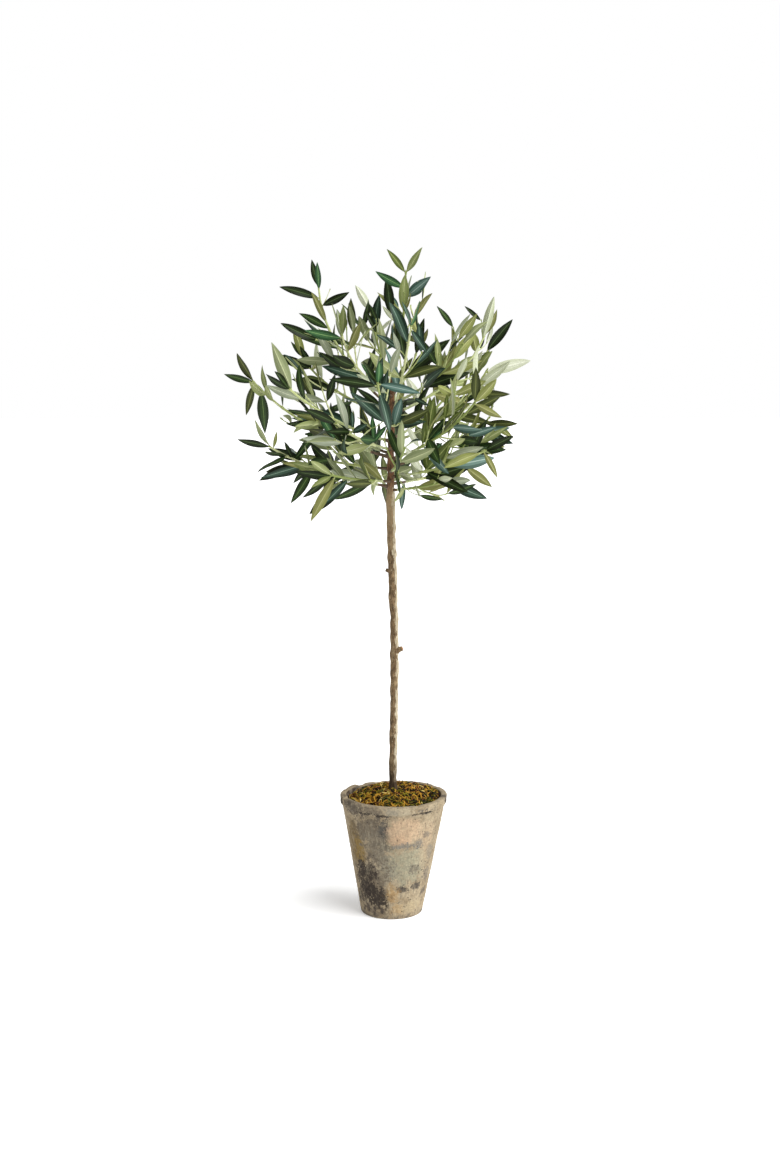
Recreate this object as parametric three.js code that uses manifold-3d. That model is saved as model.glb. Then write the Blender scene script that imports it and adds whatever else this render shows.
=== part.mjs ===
// A potted olive tree: an artificial standard olive of 762 mm in an aged clay pot.
// Millimetres, +Z up. The origin is the middle of the pot's flat underside, and -Y is the front.
import * as THREE from "three";
import { mergeVertices } from "three/addons/utils/BufferGeometryUtils.js";
import Module from "manifold-3d";

const wasm = await Module();
wasm.setup();

const UP = new THREE.Vector3(0, 0, 1);
const SEAT_GAP = 0.3; // between pieces that touch on the real tree

// The pot: 5.5 inches tall and nearly 5 inches across its rim band. It is a little crooked.
const POT = {
  height: 139.7,
  rimRadius: 62,
  rimOffsetX: 2.3, // how far the rim's middle is to the right of the foot's
  bandHeight: 11,
  bandStep: 2.6,
  bandLedge: 1.2,
  bandDraft: 0.4,
  lipRounding: 1.6,
  footRadius: 35.8,
  footRounding: 4.5,
  wall: 7,
  floor: 9,
  segments: 36,
};

// The block that fills the pot, and the moss on it, which is a mound with a flat seat for the trunk.
const FILLING = { top: 126, segments: 36 };
const MOSS = {
  edgeHeight: 133,
  seatHeight: 143.5,
  seatRadius: 8,
  lump: 1.4,
  tilt: 3, // how much higher it is piled at the back right
  tiltAzimuth: 40,
  rings: 6,
  segments: 36,
};

// The trunk, from its flat cut on the moss to its tip inside the crown.
const TRUNK = {
  foot: MOSS.seatHeight + SEAT_GAP,
  tip: 622,
  footRadius: 5.5,
  flareHeight: 16,
  radius: 4.4,
  upperRadius: 4.9, // where the taper to the tip starts
  tipRadius: 2.3,
  taperFrom: 470,
  footX: 3,
  leanX: -3.7,
  swayX: 1.5,
  swayTurns: 8.6, // radians of sway from foot to tip
  swayStart: 0.162,
  swayY: 1.2,
  swayTurnsY: 6.9,
  knuckle: 0.3,
  knuckleWaves: [0.115, 0.047], // radians for each millimetre
  rings: 28,
  sides: 12,
};
// Cut twig stubs on the bare trunk: height, azimuth in degrees, length out of the bark and radius.
const STUB = { drop: 3, widening: 0.25, sides: 7 };
const STUBS = [
  { height: 402, azimuth: 172, length: 2.8, radius: 2.0 },
  { height: 311, azimuth: -12, length: 4.6, radius: 2.2 },
];

const CROWN_X = 2.6; // the crown's middle line, over the rim's middle

// One bough and one mass of foliage for each row: foot is where the bough leaves the trunk,
// azimuth is 0 to the right and -90 to the front, reach and height are where the mass's stem ends.
const LIMBS = [
  { name: "top", foot: 612, azimuth: -30, reach: 15, height: 735, seed: 7 },
  { name: "left_top", foot: 585, azimuth: 168, reach: 87, height: 722, seed: 8 },
  { name: "far_left", foot: 530, azimuth: -171, reach: 158, height: 615, seed: 6 },
  { name: "left_low", foot: 497, azimuth: -165, reach: 142, height: 543, seed: 2 },
  { name: "left_front", foot: 548, azimuth: -143, reach: 140, height: 606, seed: 0 },
  { name: "left_back_high", foot: 577, azimuth: 148, reach: 126, height: 645, seed: 8 },
  { name: "front_left_high", foot: 598, azimuth: -138, reach: 76, height: 664, seed: 0 },
  { name: "back_high", foot: 604, azimuth: 110, reach: 80, height: 697, seed: 0 },
  { name: "right_high", foot: 600, azimuth: 52, reach: 45, height: 668, seed: 0 },
  { name: "front_right_high", foot: 572, azimuth: -78, reach: 86, height: 672, seed: 0 },
  { name: "right_top", foot: 590, azimuth: -20, reach: 80, height: 655, seed: 0 },
  { name: "right_back_top", foot: 578, azimuth: 30, reach: 121, height: 668, seed: 11 },
  { name: "far_right", foot: 546, azimuth: -19, reach: 108, height: 627, seed: 0 },
  { name: "front_right", foot: 528, azimuth: -45, reach: 122, height: 592, seed: 0 },
  { name: "right", foot: 520, azimuth: 5, reach: 108, height: 574, seed: 1 },
  { name: "right_low", foot: 508, azimuth: -33, reach: 118, height: 540, seed: 1 },
  { name: "right_back_low", foot: 500, azimuth: 40, reach: 118, height: 520, seed: 0 },
  { name: "front_low", foot: 514, azimuth: -85, reach: 126, height: 545, seed: 0 },
  { name: "front", foot: 556, azimuth: -97, reach: 140, height: 612, seed: 0 },
  { name: "front_left", foot: 539, azimuth: -120, reach: 122, height: 570, seed: 0 },
  { name: "front_left_low", foot: 503, azimuth: -124, reach: 120, height: 515, seed: 9 },
  { name: "back", foot: 562, azimuth: 88, reach: 150, height: 600, seed: 0 },
  { name: "back_left", foot: 534, azimuth: 131, reach: 146, height: 590, seed: 0 },
  { name: "back_right", foot: 551, azimuth: 60, reach: 146, height: 612, seed: 0 },
  { name: "back_low", foot: 492, azimuth: 101, reach: 138, height: 528, seed: 0 },
  { name: "left_back_low", foot: 517, azimuth: 152, reach: 128, height: 532, seed: 0 },
  { name: "right_small", foot: 493, azimuth: -25, reach: 66, height: 506, seed: 9 },
];
const BOUGH = {
  radius: 1.7,
  tipRadius: 1.25,
  sides: 5,
  steps: 4,
  share: 0.27, // of the way to the mass's tip
  steepAt: 1.6, // the rise over the reach from which a bough counts as steep
  elbowOut: [0.55, 0.95],
  elbowUp: [0.25, 0.5],
};
const STEM = {
  radius: 1.25,
  tipRadius: 0.8,
  sides: 3,
  steps: 6,
  firstNode: 7,
  nodeGap: 26,
  sway: 0.09,
};
// A side twig leaves the stem at an angle and bends up towards its tip.
const TWIG = {
  radius: 0.95,
  length: 40,
  lengthSpread: 0.25,
  angle: 44,
  angleSpread: 10,
  shareFrom: 0.1,
  shareSpan: 0.3,
  count: 2,
  steps: 3,
  firstNode: 12,
  leafShare: 1.1, // its first leaves' length over a tip leaf's
  bareTo: 0.25,
  bendAt: 0.55,
  tipOut: 0.85,
  tipUp: 0.25,
};
const LEAF = {
  length: 55,
  tipLength: 38,
  lengthSpread: 0.14,
  slimness: 0.235,
  thickness: 0.8,
  wide: [0.32, 0.66], // where along the leaf its two sections are
  shape: [0.92, 0.88], // and their width as a share of the greatest
  sunk: -0.012,
  angle: 46,
  tipAngle: 24,
  spread: 17,
  around: 16, // degrees round the stem on the first try
  aroundMore: 9, // and so many more on each later one
  bend: -0.04,
  bendSpread: 0.14,
  sweep: 0.1,
  turn: 0.72, // how far a blade turns from square on its stem to facing outwards
  tangent: 0.8,
  roll: 24,
};
const SPACING = 4.4; // the least distance between the sample points of two leaves
const LIMB_SPACE = 2.4; // and between a limb's bark and a leaf's sample points
const TRIES = 7;
const OVERREACH = 14; // how much nearer than its own stem another mass's stem may be to a leaf tip
const STEM_SAMPLES = 12;
const LIMB_SAMPLE_GAP = 3;
const LOWEST_LEAF = 440;
const TOP = 762;
const WELD = 0.02; // edges shorter than this are closed up where pieces are joined

// Where the seeds of limbs and masses start, and how far apart those of twigs, leaves and tries are.
const SEED = {
  limb: 7000,
  mass: 1000,
  choice: 100,
  twig: 50,
  twigStep: 7,
  twigLeaf: 60,
  twigLeafStep: 20,
  tries: 16,
};

const radians = THREE.MathUtils.degToRad;
const lerp = THREE.MathUtils.lerp;

// Numbers from 0 to 1 that are the same on every run.
function roller(seed) {
  let state = seed;
  const roll = () => {
    state = (state * 1664525 + 1013904223) % 4294967296;
    return state / 4294967296;
  };
  for (let i = 0; i < 3; i++) roll();
  return roll;
}

const spread = (roll, amount) => (2 * roll() - 1) * amount;

// A closed surface from rings of equally many points, with a flat fan over each end.
function loft(rings) {
  const n = rings[0].length;
  const position = rings.flat().flatMap((p) => [p.x, p.y, p.z]);
  const index = [];
  for (let r = 0; r + 1 < rings.length; r++)
    for (let i = 0; i < n; i++) {
      const a = r * n + i;
      const b = r * n + ((i + 1) % n);
      index.push(a, b, b + n, a, b + n, a + n);
    }
  const last = (rings.length - 1) * n;
  for (let i = 1; i + 1 < n; i++) index.push(0, i + 1, i, last, last + i, last + i + 1);
  const geometry = new THREE.BufferGeometry();
  geometry.setAttribute("position", new THREE.Float32BufferAttribute(position, 3));
  geometry.setIndex(index);
  return geometry;
}

// A horizontal-ish unit vector square to a direction.
function sideOf(direction) {
  const side = new THREE.Vector3().crossVectors(direction, UP);
  if (side.length() < 0.2) side.crossVectors(direction, new THREE.Vector3(1, 0, 0));
  return side.normalize();
}

// A tapering limb along a curve between two of its parameters.
function limb(curve, from, to, steps, sides, radiusAt) {
  const rings = [];
  for (let s = 0; s <= steps; s++) {
    const t = lerp(from, to, s / steps);
    const centre = curve.getPoint(t);
    const along = curve.getTangent(t);
    const side = sideOf(along);
    const other = new THREE.Vector3().crossVectors(along, side);
    const ring = [];
    const r = radiusAt(s / steps);
    for (let i = 0; i < sides; i++) {
      const a = (2 * Math.PI * i) / sides;
      const corner = centre.clone().addScaledVector(side, r * Math.cos(a));
      ring.push(corner.addScaledVector(other, r * Math.sin(a)));
    }
    rings.push(ring);
  }
  return loft(rings);
}

function solidOf(geometry) {
  const bare = new THREE.BufferGeometry();
  bare.setAttribute("position", geometry.getAttribute("position"));
  bare.setIndex(geometry.index);
  const merged = mergeVertices(bare, 1e-4);
  return new wasm.Manifold(
    new wasm.Mesh({
      numProp: 3,
      vertProperties: merged.getAttribute("position").array,
      triVerts: new Uint32Array(merged.index.array),
      tolerance: WELD,
    }),
  );
}

function geometryOf(solid) {
  const mesh = solid.getMesh();
  const geometry = new THREE.BufferGeometry();
  geometry.setAttribute("position", new THREE.BufferAttribute(mesh.vertProperties, 3));
  geometry.setIndex(new THREE.BufferAttribute(mesh.triVerts, 1));
  geometry.computeVertexNormals();
  return geometry;
}

const mix = (a, shareA, b, shareB) => a.clone().multiplyScalar(shareA).addScaledVector(b, shareB);

const fuse = (solids) => solids.reduce((sum, next) => sum.add(next));

// Points of a quarter circle in a lathe profile, from one angle to another.
function corner(centreX, centreY, radius, fromDegrees, toDegrees, steps) {
  const points = [];
  for (let i = 0; i <= steps; i++) {
    const a = radians(lerp(fromDegrees, toDegrees, i / steps));
    points.push(new THREE.Vector2(centreX + radius * Math.cos(a), centreY + radius * Math.sin(a)));
  }
  return points;
}

function turned(profile, segments) {
  return new THREE.LatheGeometry(profile, segments).rotateX(Math.PI / 2);
}

// The pot's outer radius under the band, its inner radius, and its crooked middle line, at a height.
const bodyRadius = (height) =>
  lerp(POT.footRadius, POT.rimRadius - POT.bandStep, height / (POT.height - POT.bandHeight));
const innerRadius = (height) =>
  lerp(bodyRadius(0) - POT.wall, POT.rimRadius - POT.wall, height / POT.height);
const potMiddle = (height) => (POT.rimOffsetX * height) / POT.height;

// Moves each point of a turned piece with the pot's middle line.
function lean(geometry) {
  const p = geometry.getAttribute("position");
  for (let i = 0; i < p.count; i++) p.setX(i, p.getX(i) + potMiddle(p.getZ(i)));
  return geometry;
}

function potGeometry() {
  const bandBottom = POT.height - POT.bandHeight;
  const rounding = POT.footRounding;
  const lip = POT.lipRounding;
  const profile = [
    new THREE.Vector2(0, 0),
    ...corner(bodyRadius(rounding) - rounding, rounding, rounding, -90, 0, 4),
    new THREE.Vector2(bodyRadius(bandBottom), bandBottom),
    new THREE.Vector2(POT.rimRadius - POT.bandDraft, bandBottom + POT.bandLedge),
    ...corner(POT.rimRadius - lip, POT.height - lip, lip, 0, 90, 2),
    ...corner(POT.rimRadius - POT.wall + lip, POT.height - lip, lip, 90, 180, 2),
    new THREE.Vector2(innerRadius(POT.floor), POT.floor),
    new THREE.Vector2(0, POT.floor),
  ];
  return lean(turned(profile, POT.segments));
}

function fillingGeometry() {
  const bottom = POT.floor + SEAT_GAP;
  const profile = [
    new THREE.Vector2(0, bottom),
    new THREE.Vector2(innerRadius(bottom) - SEAT_GAP, bottom),
    new THREE.Vector2(innerRadius(FILLING.top) - SEAT_GAP, FILLING.top),
    new THREE.Vector2(0, FILLING.top),
  ];
  return lean(turned(profile, FILLING.segments));
}

// How far the moss is raised or sunk at a place by lumps of 20 to 30 mm.
const mossLump = (x, y) =>
  Math.sin(x * 0.31 + 1.3) * Math.cos(y * 0.27) + 0.6 * Math.sin(x * 0.17 - y * 0.23);

// The moss is a lumpy mound, piled higher at the back right, with a flat middle.
function mossGeometry() {
  const bottom = FILLING.top + SEAT_GAP;
  const edge = innerRadius(MOSS.edgeHeight) - 2 * SEAT_GAP;
  const profile = [
    new THREE.Vector2(0, bottom),
    new THREE.Vector2(innerRadius(bottom) - 2 * SEAT_GAP, bottom),
  ];
  for (let i = 0; i <= MOSS.rings; i++) {
    const share = i / MOSS.rings;
    const height = lerp(MOSS.edgeHeight, MOSS.seatHeight, Math.sin((share * Math.PI) / 2));
    profile.push(new THREE.Vector2(lerp(edge, MOSS.seatRadius, share), height));
  }
  profile.push(new THREE.Vector2(0, MOSS.seatHeight));
  const geometry = turned(profile, MOSS.segments);
  const pile = radians(MOSS.tiltAzimuth);
  const p = geometry.getAttribute("position");
  for (let i = 0; i < p.count; i++) {
    const [x, y, z] = [p.getX(i), p.getY(i), p.getZ(i)];
    if (z < MOSS.edgeHeight || Math.hypot(x, y) < MOSS.seatRadius + SEAT_GAP) continue;
    const tilt = (x * Math.cos(pile) + y * Math.sin(pile)) / edge;
    p.setZ(i, z + MOSS.lump * mossLump(x, y) + MOSS.tilt * tilt);
  }
  return lean(geometry);
}

function trunkRadius(height) {
  const flare = Math.max(0, 1 - (height - TRUNK.foot) / TRUNK.flareHeight);
  const rise = Math.min(1, (height - TRUNK.foot) / (TRUNK.taperFrom - TRUNK.foot));
  const tip = Math.max(0, (height - TRUNK.taperFrom) / (TRUNK.tip - TRUNK.taperFrom));
  const shaft = lerp(lerp(TRUNK.radius, TRUNK.upperRadius, rise), TRUNK.tipRadius, tip);
  const wood = shaft + (TRUNK.footRadius - TRUNK.radius) * flare * flare;
  const [short, long] = TRUNK.knuckleWaves;
  const knuckles = Math.sin(height * short) * Math.sin(height * long + 0.8);
  return wood + TRUNK.knuckle * knuckles * Math.min(1, (TRUNK.tip - height) / 60);
}

// The trunk's middle at a height: it leans to the left and sways.
function trunkCentre(height) {
  const share = (height - TRUNK.foot) / (TRUNK.tip - TRUNK.foot);
  const sway = Math.sin(TRUNK.swayTurns * (share - TRUNK.swayStart));
  const x = TRUNK.footX + TRUNK.leanX * share + TRUNK.swayX * sway;
  return new THREE.Vector3(x, TRUNK.swayY * Math.sin(share * TRUNK.swayTurnsY), height);
}

// The trunk, or with grow the space that nothing else may enter.
function trunkSolid(grow = 0) {
  const rings = [];
  for (let s = 0; s <= TRUNK.rings; s++) {
    const height = lerp(TRUNK.foot, TRUNK.tip, s / TRUNK.rings);
    const centre = trunkCentre(height);
    if (s === TRUNK.rings) centre.z += grow;
    const ring = [];
    for (let i = 0; i < TRUNK.sides; i++) {
      const a = (2 * Math.PI * i) / TRUNK.sides;
      const r = trunkRadius(height) + grow;
      ring.push(centre.clone().add(new THREE.Vector3(r * Math.cos(a), r * Math.sin(a), 0)));
    }
    rings.push(ring);
  }
  return solidOf(loft(rings));
}

// The level unit vector at an azimuth in degrees.
const outwards = (azimuth) => new THREE.Vector3(Math.cos(radians(azimuth)), Math.sin(radians(azimuth)), 0);

function stubSolid(stub) {
  const out = outwards(stub.azimuth);
  const root = trunkCentre(stub.height - STUB.drop);
  const tip = trunkCentre(stub.height).addScaledVector(out, trunkRadius(stub.height) + stub.length);
  const line = new THREE.LineCurve3(root, tip);
  return solidOf(limb(line, 0, 1, 1, STUB.sides, (s) => stub.radius * (1 + STUB.widening * (1 - s))));
}

// The line of a bough and its mass's stem in one sweep: out of the trunk, then up.
// Steep ones hook up more.
function limbCurve(row, number) {
  const roll = roller(SEED.limb + number);
  const out = outwards(row.azimuth);
  const side = new THREE.Vector3(-out.y, out.x, 0);
  const foot = trunkCentre(row.foot);
  const tip = new THREE.Vector3(CROWN_X, 0, row.height).addScaledVector(out, row.reach);
  const steep = Math.min(1, (row.height - row.foot) / (row.reach * BOUGH.steepAt));
  const elbowHeight = lerp(row.foot, row.height, lerp(...BOUGH.elbowUp, steep));
  const elbow = new THREE.Vector3(CROWN_X, 0, elbowHeight)
    .addScaledVector(out, row.reach * lerp(...BOUGH.elbowOut, steep))
    .addScaledVector(side, spread(roll, STEM.sway) * row.reach);
  return new THREE.QuadraticBezierCurve3(foot, elbow, tip);
}

// A point of a leaf's middle line at a share of its length.
function leafPoint(leaf, share) {
  return leaf.root
    .clone()
    .addScaledVector(leaf.along, leaf.length * share)
    .addScaledVector(leaf.face, leaf.length * leaf.bend * share * share)
    .addScaledVector(leaf.across, leaf.length * leaf.sweep * share * share);
}

// A leaf as a thin closed blade: its base point sunk in the stem, two sections with a ridge, and a tip.
function leafSolid(leaf) {
  const half = (leaf.length * LEAF.slimness) / 2;
  const sections = LEAF.wide.map((share, i) => {
    const centre = leafPoint(leaf, share);
    const width = half * LEAF.shape[i];
    return [
      centre.clone().addScaledVector(leaf.across, width),
      centre.clone().addScaledVector(leaf.face, LEAF.thickness),
      centre.clone().addScaledVector(leaf.across, -width),
    ];
  });
  const points = [leafPoint(leaf, LEAF.sunk), ...sections.flat(), leafPoint(leaf, 1)];
  const tip = points.length - 1;
  const index = [];
  for (let i = 0; i < 3; i++) {
    const a = 1 + i;
    const b = 1 + ((i + 1) % 3);
    index.push(0, b, a, a, b, b + 3, a, b + 3, a + 3, tip, a + 3, b + 3);
  }
  const position = points.flatMap((p) => [p.x, p.y, p.z]);
  const geometry = new THREE.BufferGeometry();
  geometry.setAttribute("position", new THREE.Float32BufferAttribute(position, 3));
  geometry.setIndex(index);
  return solidOf(geometry);
}

// Points that stand for a leaf where it is tested against the others.
function leafSamples(leaf) {
  const half = (leaf.length * LEAF.slimness) / 2;
  const points = [];
  for (const share of [0.3, 0.44, 0.58, 0.72, 0.86]) {
    const centre = leafPoint(leaf, share);
    for (const side of [-0.85, 0, 0.85])
      points.push(centre.clone().addScaledVector(leaf.across, side * half));
  }
  points.push(leafPoint(leaf, 1));
  return points;
}

// One try at a leaf: its way out from the stem, its length, and its blade turned to face outwards.
function leafAt(place, seed, attempt) {
  const roll = roller(seed * SEED.tries + attempt);
  const { root, along } = place;
  const swing = radians(spread(roll, LEAF.around + LEAF.aroundMore * attempt));
  const around = place.around.clone().applyAxisAngle(along, swing);
  const angle = radians(place.angle + spread(roll, LEAF.spread));
  const length = place.length * (1 + spread(roll, LEAF.lengthSpread));
  const bend = LEAF.bend + spread(roll, LEAF.bendSpread);
  const sweep = spread(roll, LEAF.sweep);
  const direction = mix(along, Math.cos(angle), around, Math.sin(angle));
  const natural = mix(along, Math.sin(angle), around, -Math.cos(angle));
  const out = new THREE.Vector3(root.x - CROWN_X, root.y, 0);
  out.divideScalar(Math.max(1, out.length()));
  const tangent = new THREE.Vector3(-out.y, out.x, 0);
  let wanted = mix(out, 1, tangent, roll() < 0.5 ? LEAF.tangent : -LEAF.tangent);
  wanted.addScaledVector(direction, -wanted.dot(direction));
  if (wanted.length() < 0.05) wanted = natural.clone();
  wanted.normalize();
  if (wanted.dot(natural) < 0) wanted.negate();
  const face = mix(natural, 1 - LEAF.turn, wanted, LEAF.turn).normalize();
  face.applyAxisAngle(direction, radians(spread(roll, LEAF.roll)));
  const across = new THREE.Vector3().crossVectors(face, direction);
  return { root, along: direction, face, across, length, bend, sweep };
}

const taken = []; // sample points of the limbs and leaves so far, each with the distance to keep

function isClear(points) {
  return points.every((p) => taken.every((t) => p.distanceToSquared(t.point) > t.keep * t.keep));
}

function takeLimb(curve, from, to, radius) {
  const steps = Math.ceil((curve.getLength() * (to - from)) / LIMB_SAMPLE_GAP);
  for (let i = 0; i <= steps; i++)
    taken.push({ point: curve.getPoint(lerp(from, to, i / steps)), keep: radius + LIMB_SPACE });
}

function takeTrunk() {
  for (let height = LOWEST_LEAF; height <= TRUNK.tip; height += LIMB_SAMPLE_GAP)
    taken.push({ point: trunkCentre(height), keep: trunkRadius(height) + LIMB_SPACE });
}

const curves = LIMBS.map(limbCurve);

// The distance from a point to a mass's stem.
function distanceTo(curve, point) {
  let least = Infinity;
  for (let i = 0; i <= STEM_SAMPLES; i++)
    least = Math.min(least, point.distanceTo(curve.getPoint(lerp(BOUGH.share, 1, i / STEM_SAMPLES))));
  return least;
}

// A mass keeps to the space that lies nearer to its own stem than to the others.
function inOwnSpace(point, number) {
  const least = distanceTo(curves[number], point) - OVERREACH;
  return curves.every((curve, other) => other === number || distanceTo(curve, point) > least);
}

// Tries a leaf a few ways round its stem and keeps the first that is clear, or none.
function placeLeaf(place, number, seed) {
  for (let attempt = 0; attempt < TRIES; attempt++) {
    const leaf = leafAt(place, seed, attempt);
    const samples = leafSamples(leaf);
    const tip = samples[samples.length - 1];
    if (tip.z <= TOP && inOwnSpace(tip, number) && isClear(samples)) return { leaf, samples };
  }
  return null;
}

// Pairs of leaves along a stem, each pair a quarter turn on from the last, and a pair at its tip.
function leavesAlong(curve, from, firstNode, number, seed, baseLength, quarter) {
  const length = curve.getLength() * (1 - from);
  const nodes = Math.max(1, Math.round((length - firstNode) / STEM.nodeGap));
  const leaves = [];
  for (let node = 0; node <= nodes; node++) {
    const share = node / nodes;
    const t = lerp(from + (firstNode / length) * (1 - from), 1, share);
    const along = curve.getTangent(t);
    const side = sideOf(along);
    const pair = [];
    for (const mate of [0, 1]) {
      const place = {
        root: curve.getPoint(Math.min(t, 0.995)),
        along,
        around: side.clone().applyAxisAngle(along, radians(180 * mate + 90 * (node + quarter))),
        angle: node === nodes ? LEAF.tipAngle : LEAF.angle,
        length: lerp(baseLength, LEAF.tipLength, share * share),
      };
      const placed = placeLeaf(place, number, seed + node * 2 + mate);
      if (placed) pair.push(placed);
    }
    for (const { leaf, samples } of pair) {
      leaves.push(leaf);
      for (const point of samples) taken.push({ point, keep: SPACING });
    }
  }
  return leaves;
}

// A short side twig from the lower part of a mass's stem, or none where there is no room.
function sideTwig(curve, number, seed) {
  const roll = roller(seed);
  const t = lerp(BOUGH.share, 1, TWIG.shareFrom + TWIG.shareSpan * roll());
  const along = curve.getTangent(t);
  const around = sideOf(along).applyAxisAngle(along, radians(45 + 360 * roll()));
  const angle = radians(TWIG.angle + spread(roll, TWIG.angleSpread));
  const root = curve.getPoint(t);
  const length = TWIG.length * (1 + spread(roll, TWIG.lengthSpread));
  const direction = mix(along, Math.cos(angle), around, Math.sin(angle));
  const middle = root.clone().addScaledVector(direction, length * TWIG.bendAt);
  const tip = root.clone().addScaledVector(direction, length * TWIG.tipOut);
  tip.addScaledVector(UP, length * TWIG.tipUp);
  const twig = new THREE.QuadraticBezierCurve3(root, middle, tip);
  const points = [0.35, 0.5, 0.65, 0.8, 1].map((s) => twig.getPoint(s));
  return isClear(points) && inOwnSpace(tip, number) ? twig : null;
}

// A mass of foliage: one stem that goes on from its bough, side twigs, and leaves fused on.
function massSolid(number) {
  const curve = curves[number];
  const start = BOUGH.share + SEAT_GAP / curve.getLength();
  const seed = SEED.mass * (number + 1) + SEED.choice * LIMBS[number].seed;
  const stemRadius = (s) => lerp(STEM.radius, STEM.tipRadius, s);
  const twigRadius = (s) => lerp(TWIG.radius, STEM.tipRadius, s);
  const solids = [solidOf(limb(curve, start, 1, STEM.steps, STEM.sides, stemRadius))];
  for (let i = 0; i < TWIG.count; i++) {
    const twig = sideTwig(curve, number, seed + SEED.twig + SEED.twigStep * i);
    if (!twig) continue;
    takeLimb(twig, TWIG.bareTo, 1, TWIG.radius);
    solids.push(solidOf(limb(twig, 0, 1, TWIG.steps, STEM.sides, twigRadius)));
    const leafSeed = seed + SEED.twigLeaf + SEED.twigLeafStep * i;
    const leafLength = LEAF.tipLength * TWIG.leafShare;
    const leaves = leavesAlong(twig, TWIG.bareTo, TWIG.firstNode, number, leafSeed, leafLength, i);
    solids.push(...leaves.map(leafSolid));
  }
  const leaves = leavesAlong(curve, BOUGH.share, STEM.firstNode, number, seed, LEAF.length, number % 2);
  solids.push(...leaves.map(leafSolid));
  return fuse(solids);
}

function boughSolid(number, clearTrunk) {
  const radius = (s) => lerp(BOUGH.radius, BOUGH.tipRadius, s);
  const whole = limb(curves[number], 0, BOUGH.share, BOUGH.steps, BOUGH.sides, radius);
  return solidOf(whole).subtract(clearTrunk);
}

const CLAY = new THREE.MeshStandardMaterial({ color: 0x9a8c74, roughness: 0.95, metalness: 0 });
const SOIL = new THREE.MeshStandardMaterial({ color: 0x4a3b2a, roughness: 1, metalness: 0 });
const MOSS_GREEN = new THREE.MeshStandardMaterial({ color: 0x7d6c22, roughness: 1, metalness: 0 });
const BARK = new THREE.MeshStandardMaterial({ color: 0x8a7558, roughness: 0.9, metalness: 0 });
const GREEN_STEM = new THREE.MeshStandardMaterial({ color: 0x8f9a55, roughness: 0.7, metalness: 0 });
const FOLIAGE = new THREE.MeshStandardMaterial({ color: 0x5f7048, roughness: 0.6, metalness: 0 });

const tree = new THREE.Group();

function addNode(name, geometry, material) {
  const mesh = new THREE.Mesh(geometry, material);
  mesh.name = name;
  tree.add(mesh);
}

addNode("pot", potGeometry(), CLAY);
addNode("pot_filling", fillingGeometry(), SOIL);
addNode("moss", mossGeometry(), MOSS_GREEN);
addNode("trunk", geometryOf(fuse([trunkSolid(), ...STUBS.map(stubSolid)])), BARK);

const clearTrunk = trunkSolid(SEAT_GAP);
takeTrunk();
curves.forEach((curve) => takeLimb(curve, 0.02, 1, BOUGH.radius));
LIMBS.forEach((row, number) => {
  addNode("bough_" + row.name, geometryOf(boughSolid(number, clearTrunk)), GREEN_STEM);
  addNode("foliage_" + row.name, geometryOf(massSolid(number)), FOLIAGE);
});

export default tree;
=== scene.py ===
import math
from types import SimpleNamespace as Values

import bpy
import numpy as np
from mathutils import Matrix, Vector, noise


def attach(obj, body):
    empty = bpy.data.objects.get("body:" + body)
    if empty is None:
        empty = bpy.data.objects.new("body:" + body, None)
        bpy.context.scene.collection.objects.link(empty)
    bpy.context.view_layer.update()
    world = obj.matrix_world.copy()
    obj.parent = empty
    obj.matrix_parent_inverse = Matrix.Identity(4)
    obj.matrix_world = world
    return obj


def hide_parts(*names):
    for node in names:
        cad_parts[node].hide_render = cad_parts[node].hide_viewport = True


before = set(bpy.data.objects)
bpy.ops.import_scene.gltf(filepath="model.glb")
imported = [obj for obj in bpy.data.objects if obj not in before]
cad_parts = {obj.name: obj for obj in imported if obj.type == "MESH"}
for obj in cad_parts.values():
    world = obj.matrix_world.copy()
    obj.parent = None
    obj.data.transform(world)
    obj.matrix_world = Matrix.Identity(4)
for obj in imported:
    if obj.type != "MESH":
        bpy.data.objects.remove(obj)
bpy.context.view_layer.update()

# A potted artificial olive tree. Shapes are worked out in millimetres, in the frame's own axes:
# +Z up, -Y to the front, and the origin in the middle of the pot's flat underside.
MM = 0.001
UP = np.array([0.0, 0.0, 1.0])
FRONT = np.array([0.0, -1.0, 0.0])

# The photograph's width and height in pixels, and the camera that it was taken with: its place, its
# angle down, and its focal length in pixels.
PHOTO = (780, 1170)
CAMERA = Values(place=np.array([-1.93, -1700.0, 597.6]), down=7.148, focal=1496.6)

# The pot and its filling, as the frame has them, but for a sharper foot.
POT = Values(
    height=139.7, rim=62.0, rim_x=2.3, band=11.0, step=2.6, ledge=1.2, draft=0.4, lip=1.6,
    foot=35.8, foot_round=1.8, wall=7.0, floor=9.0,
)
FILLING_TOP = 126.0
# The mound of moss, and how far under its top the tangled bed lies.
MOSS = Values(
    edge=133.0, seat=143.5, seat_radius=8.0, lump=1.4, tilt=3.0, pile=40.0, rim_gap=0.6,
    bed_down=2.6, bed_gap=0.4, tangle=2.2, coarse=(0.28, 4.2), fine=(0.7, 9.1), fine_share=0.6,
    skirt=0.3, rings=60, sides=180,
)

# The trunk and the stubs of two cut twigs: height, azimuth, length and radius.
TRUNK = Values(
    foot=143.8, tip=622.0, foot_radius=5.5, flare=16.0, radius=4.4, upper_radius=4.9,
    tip_radius=2.3, taper_from=470.0, foot_x=3.0, lean_x=-3.7, sway_x=1.5, sway_turns=8.6,
    sway_start=0.162, sway_y=1.2, sway_turns_y=6.9, knuckle=0.3, knuckle_waves=(0.115, 0.047),
)
STUBS = ((402.0, 172.0, 2.8, 2.1), (311.0, -12.0, 4.8, 2.9))

# The upright line in the middle of the crown.
CROWN = np.array([2.6, 0.0, 0.0])

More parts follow.
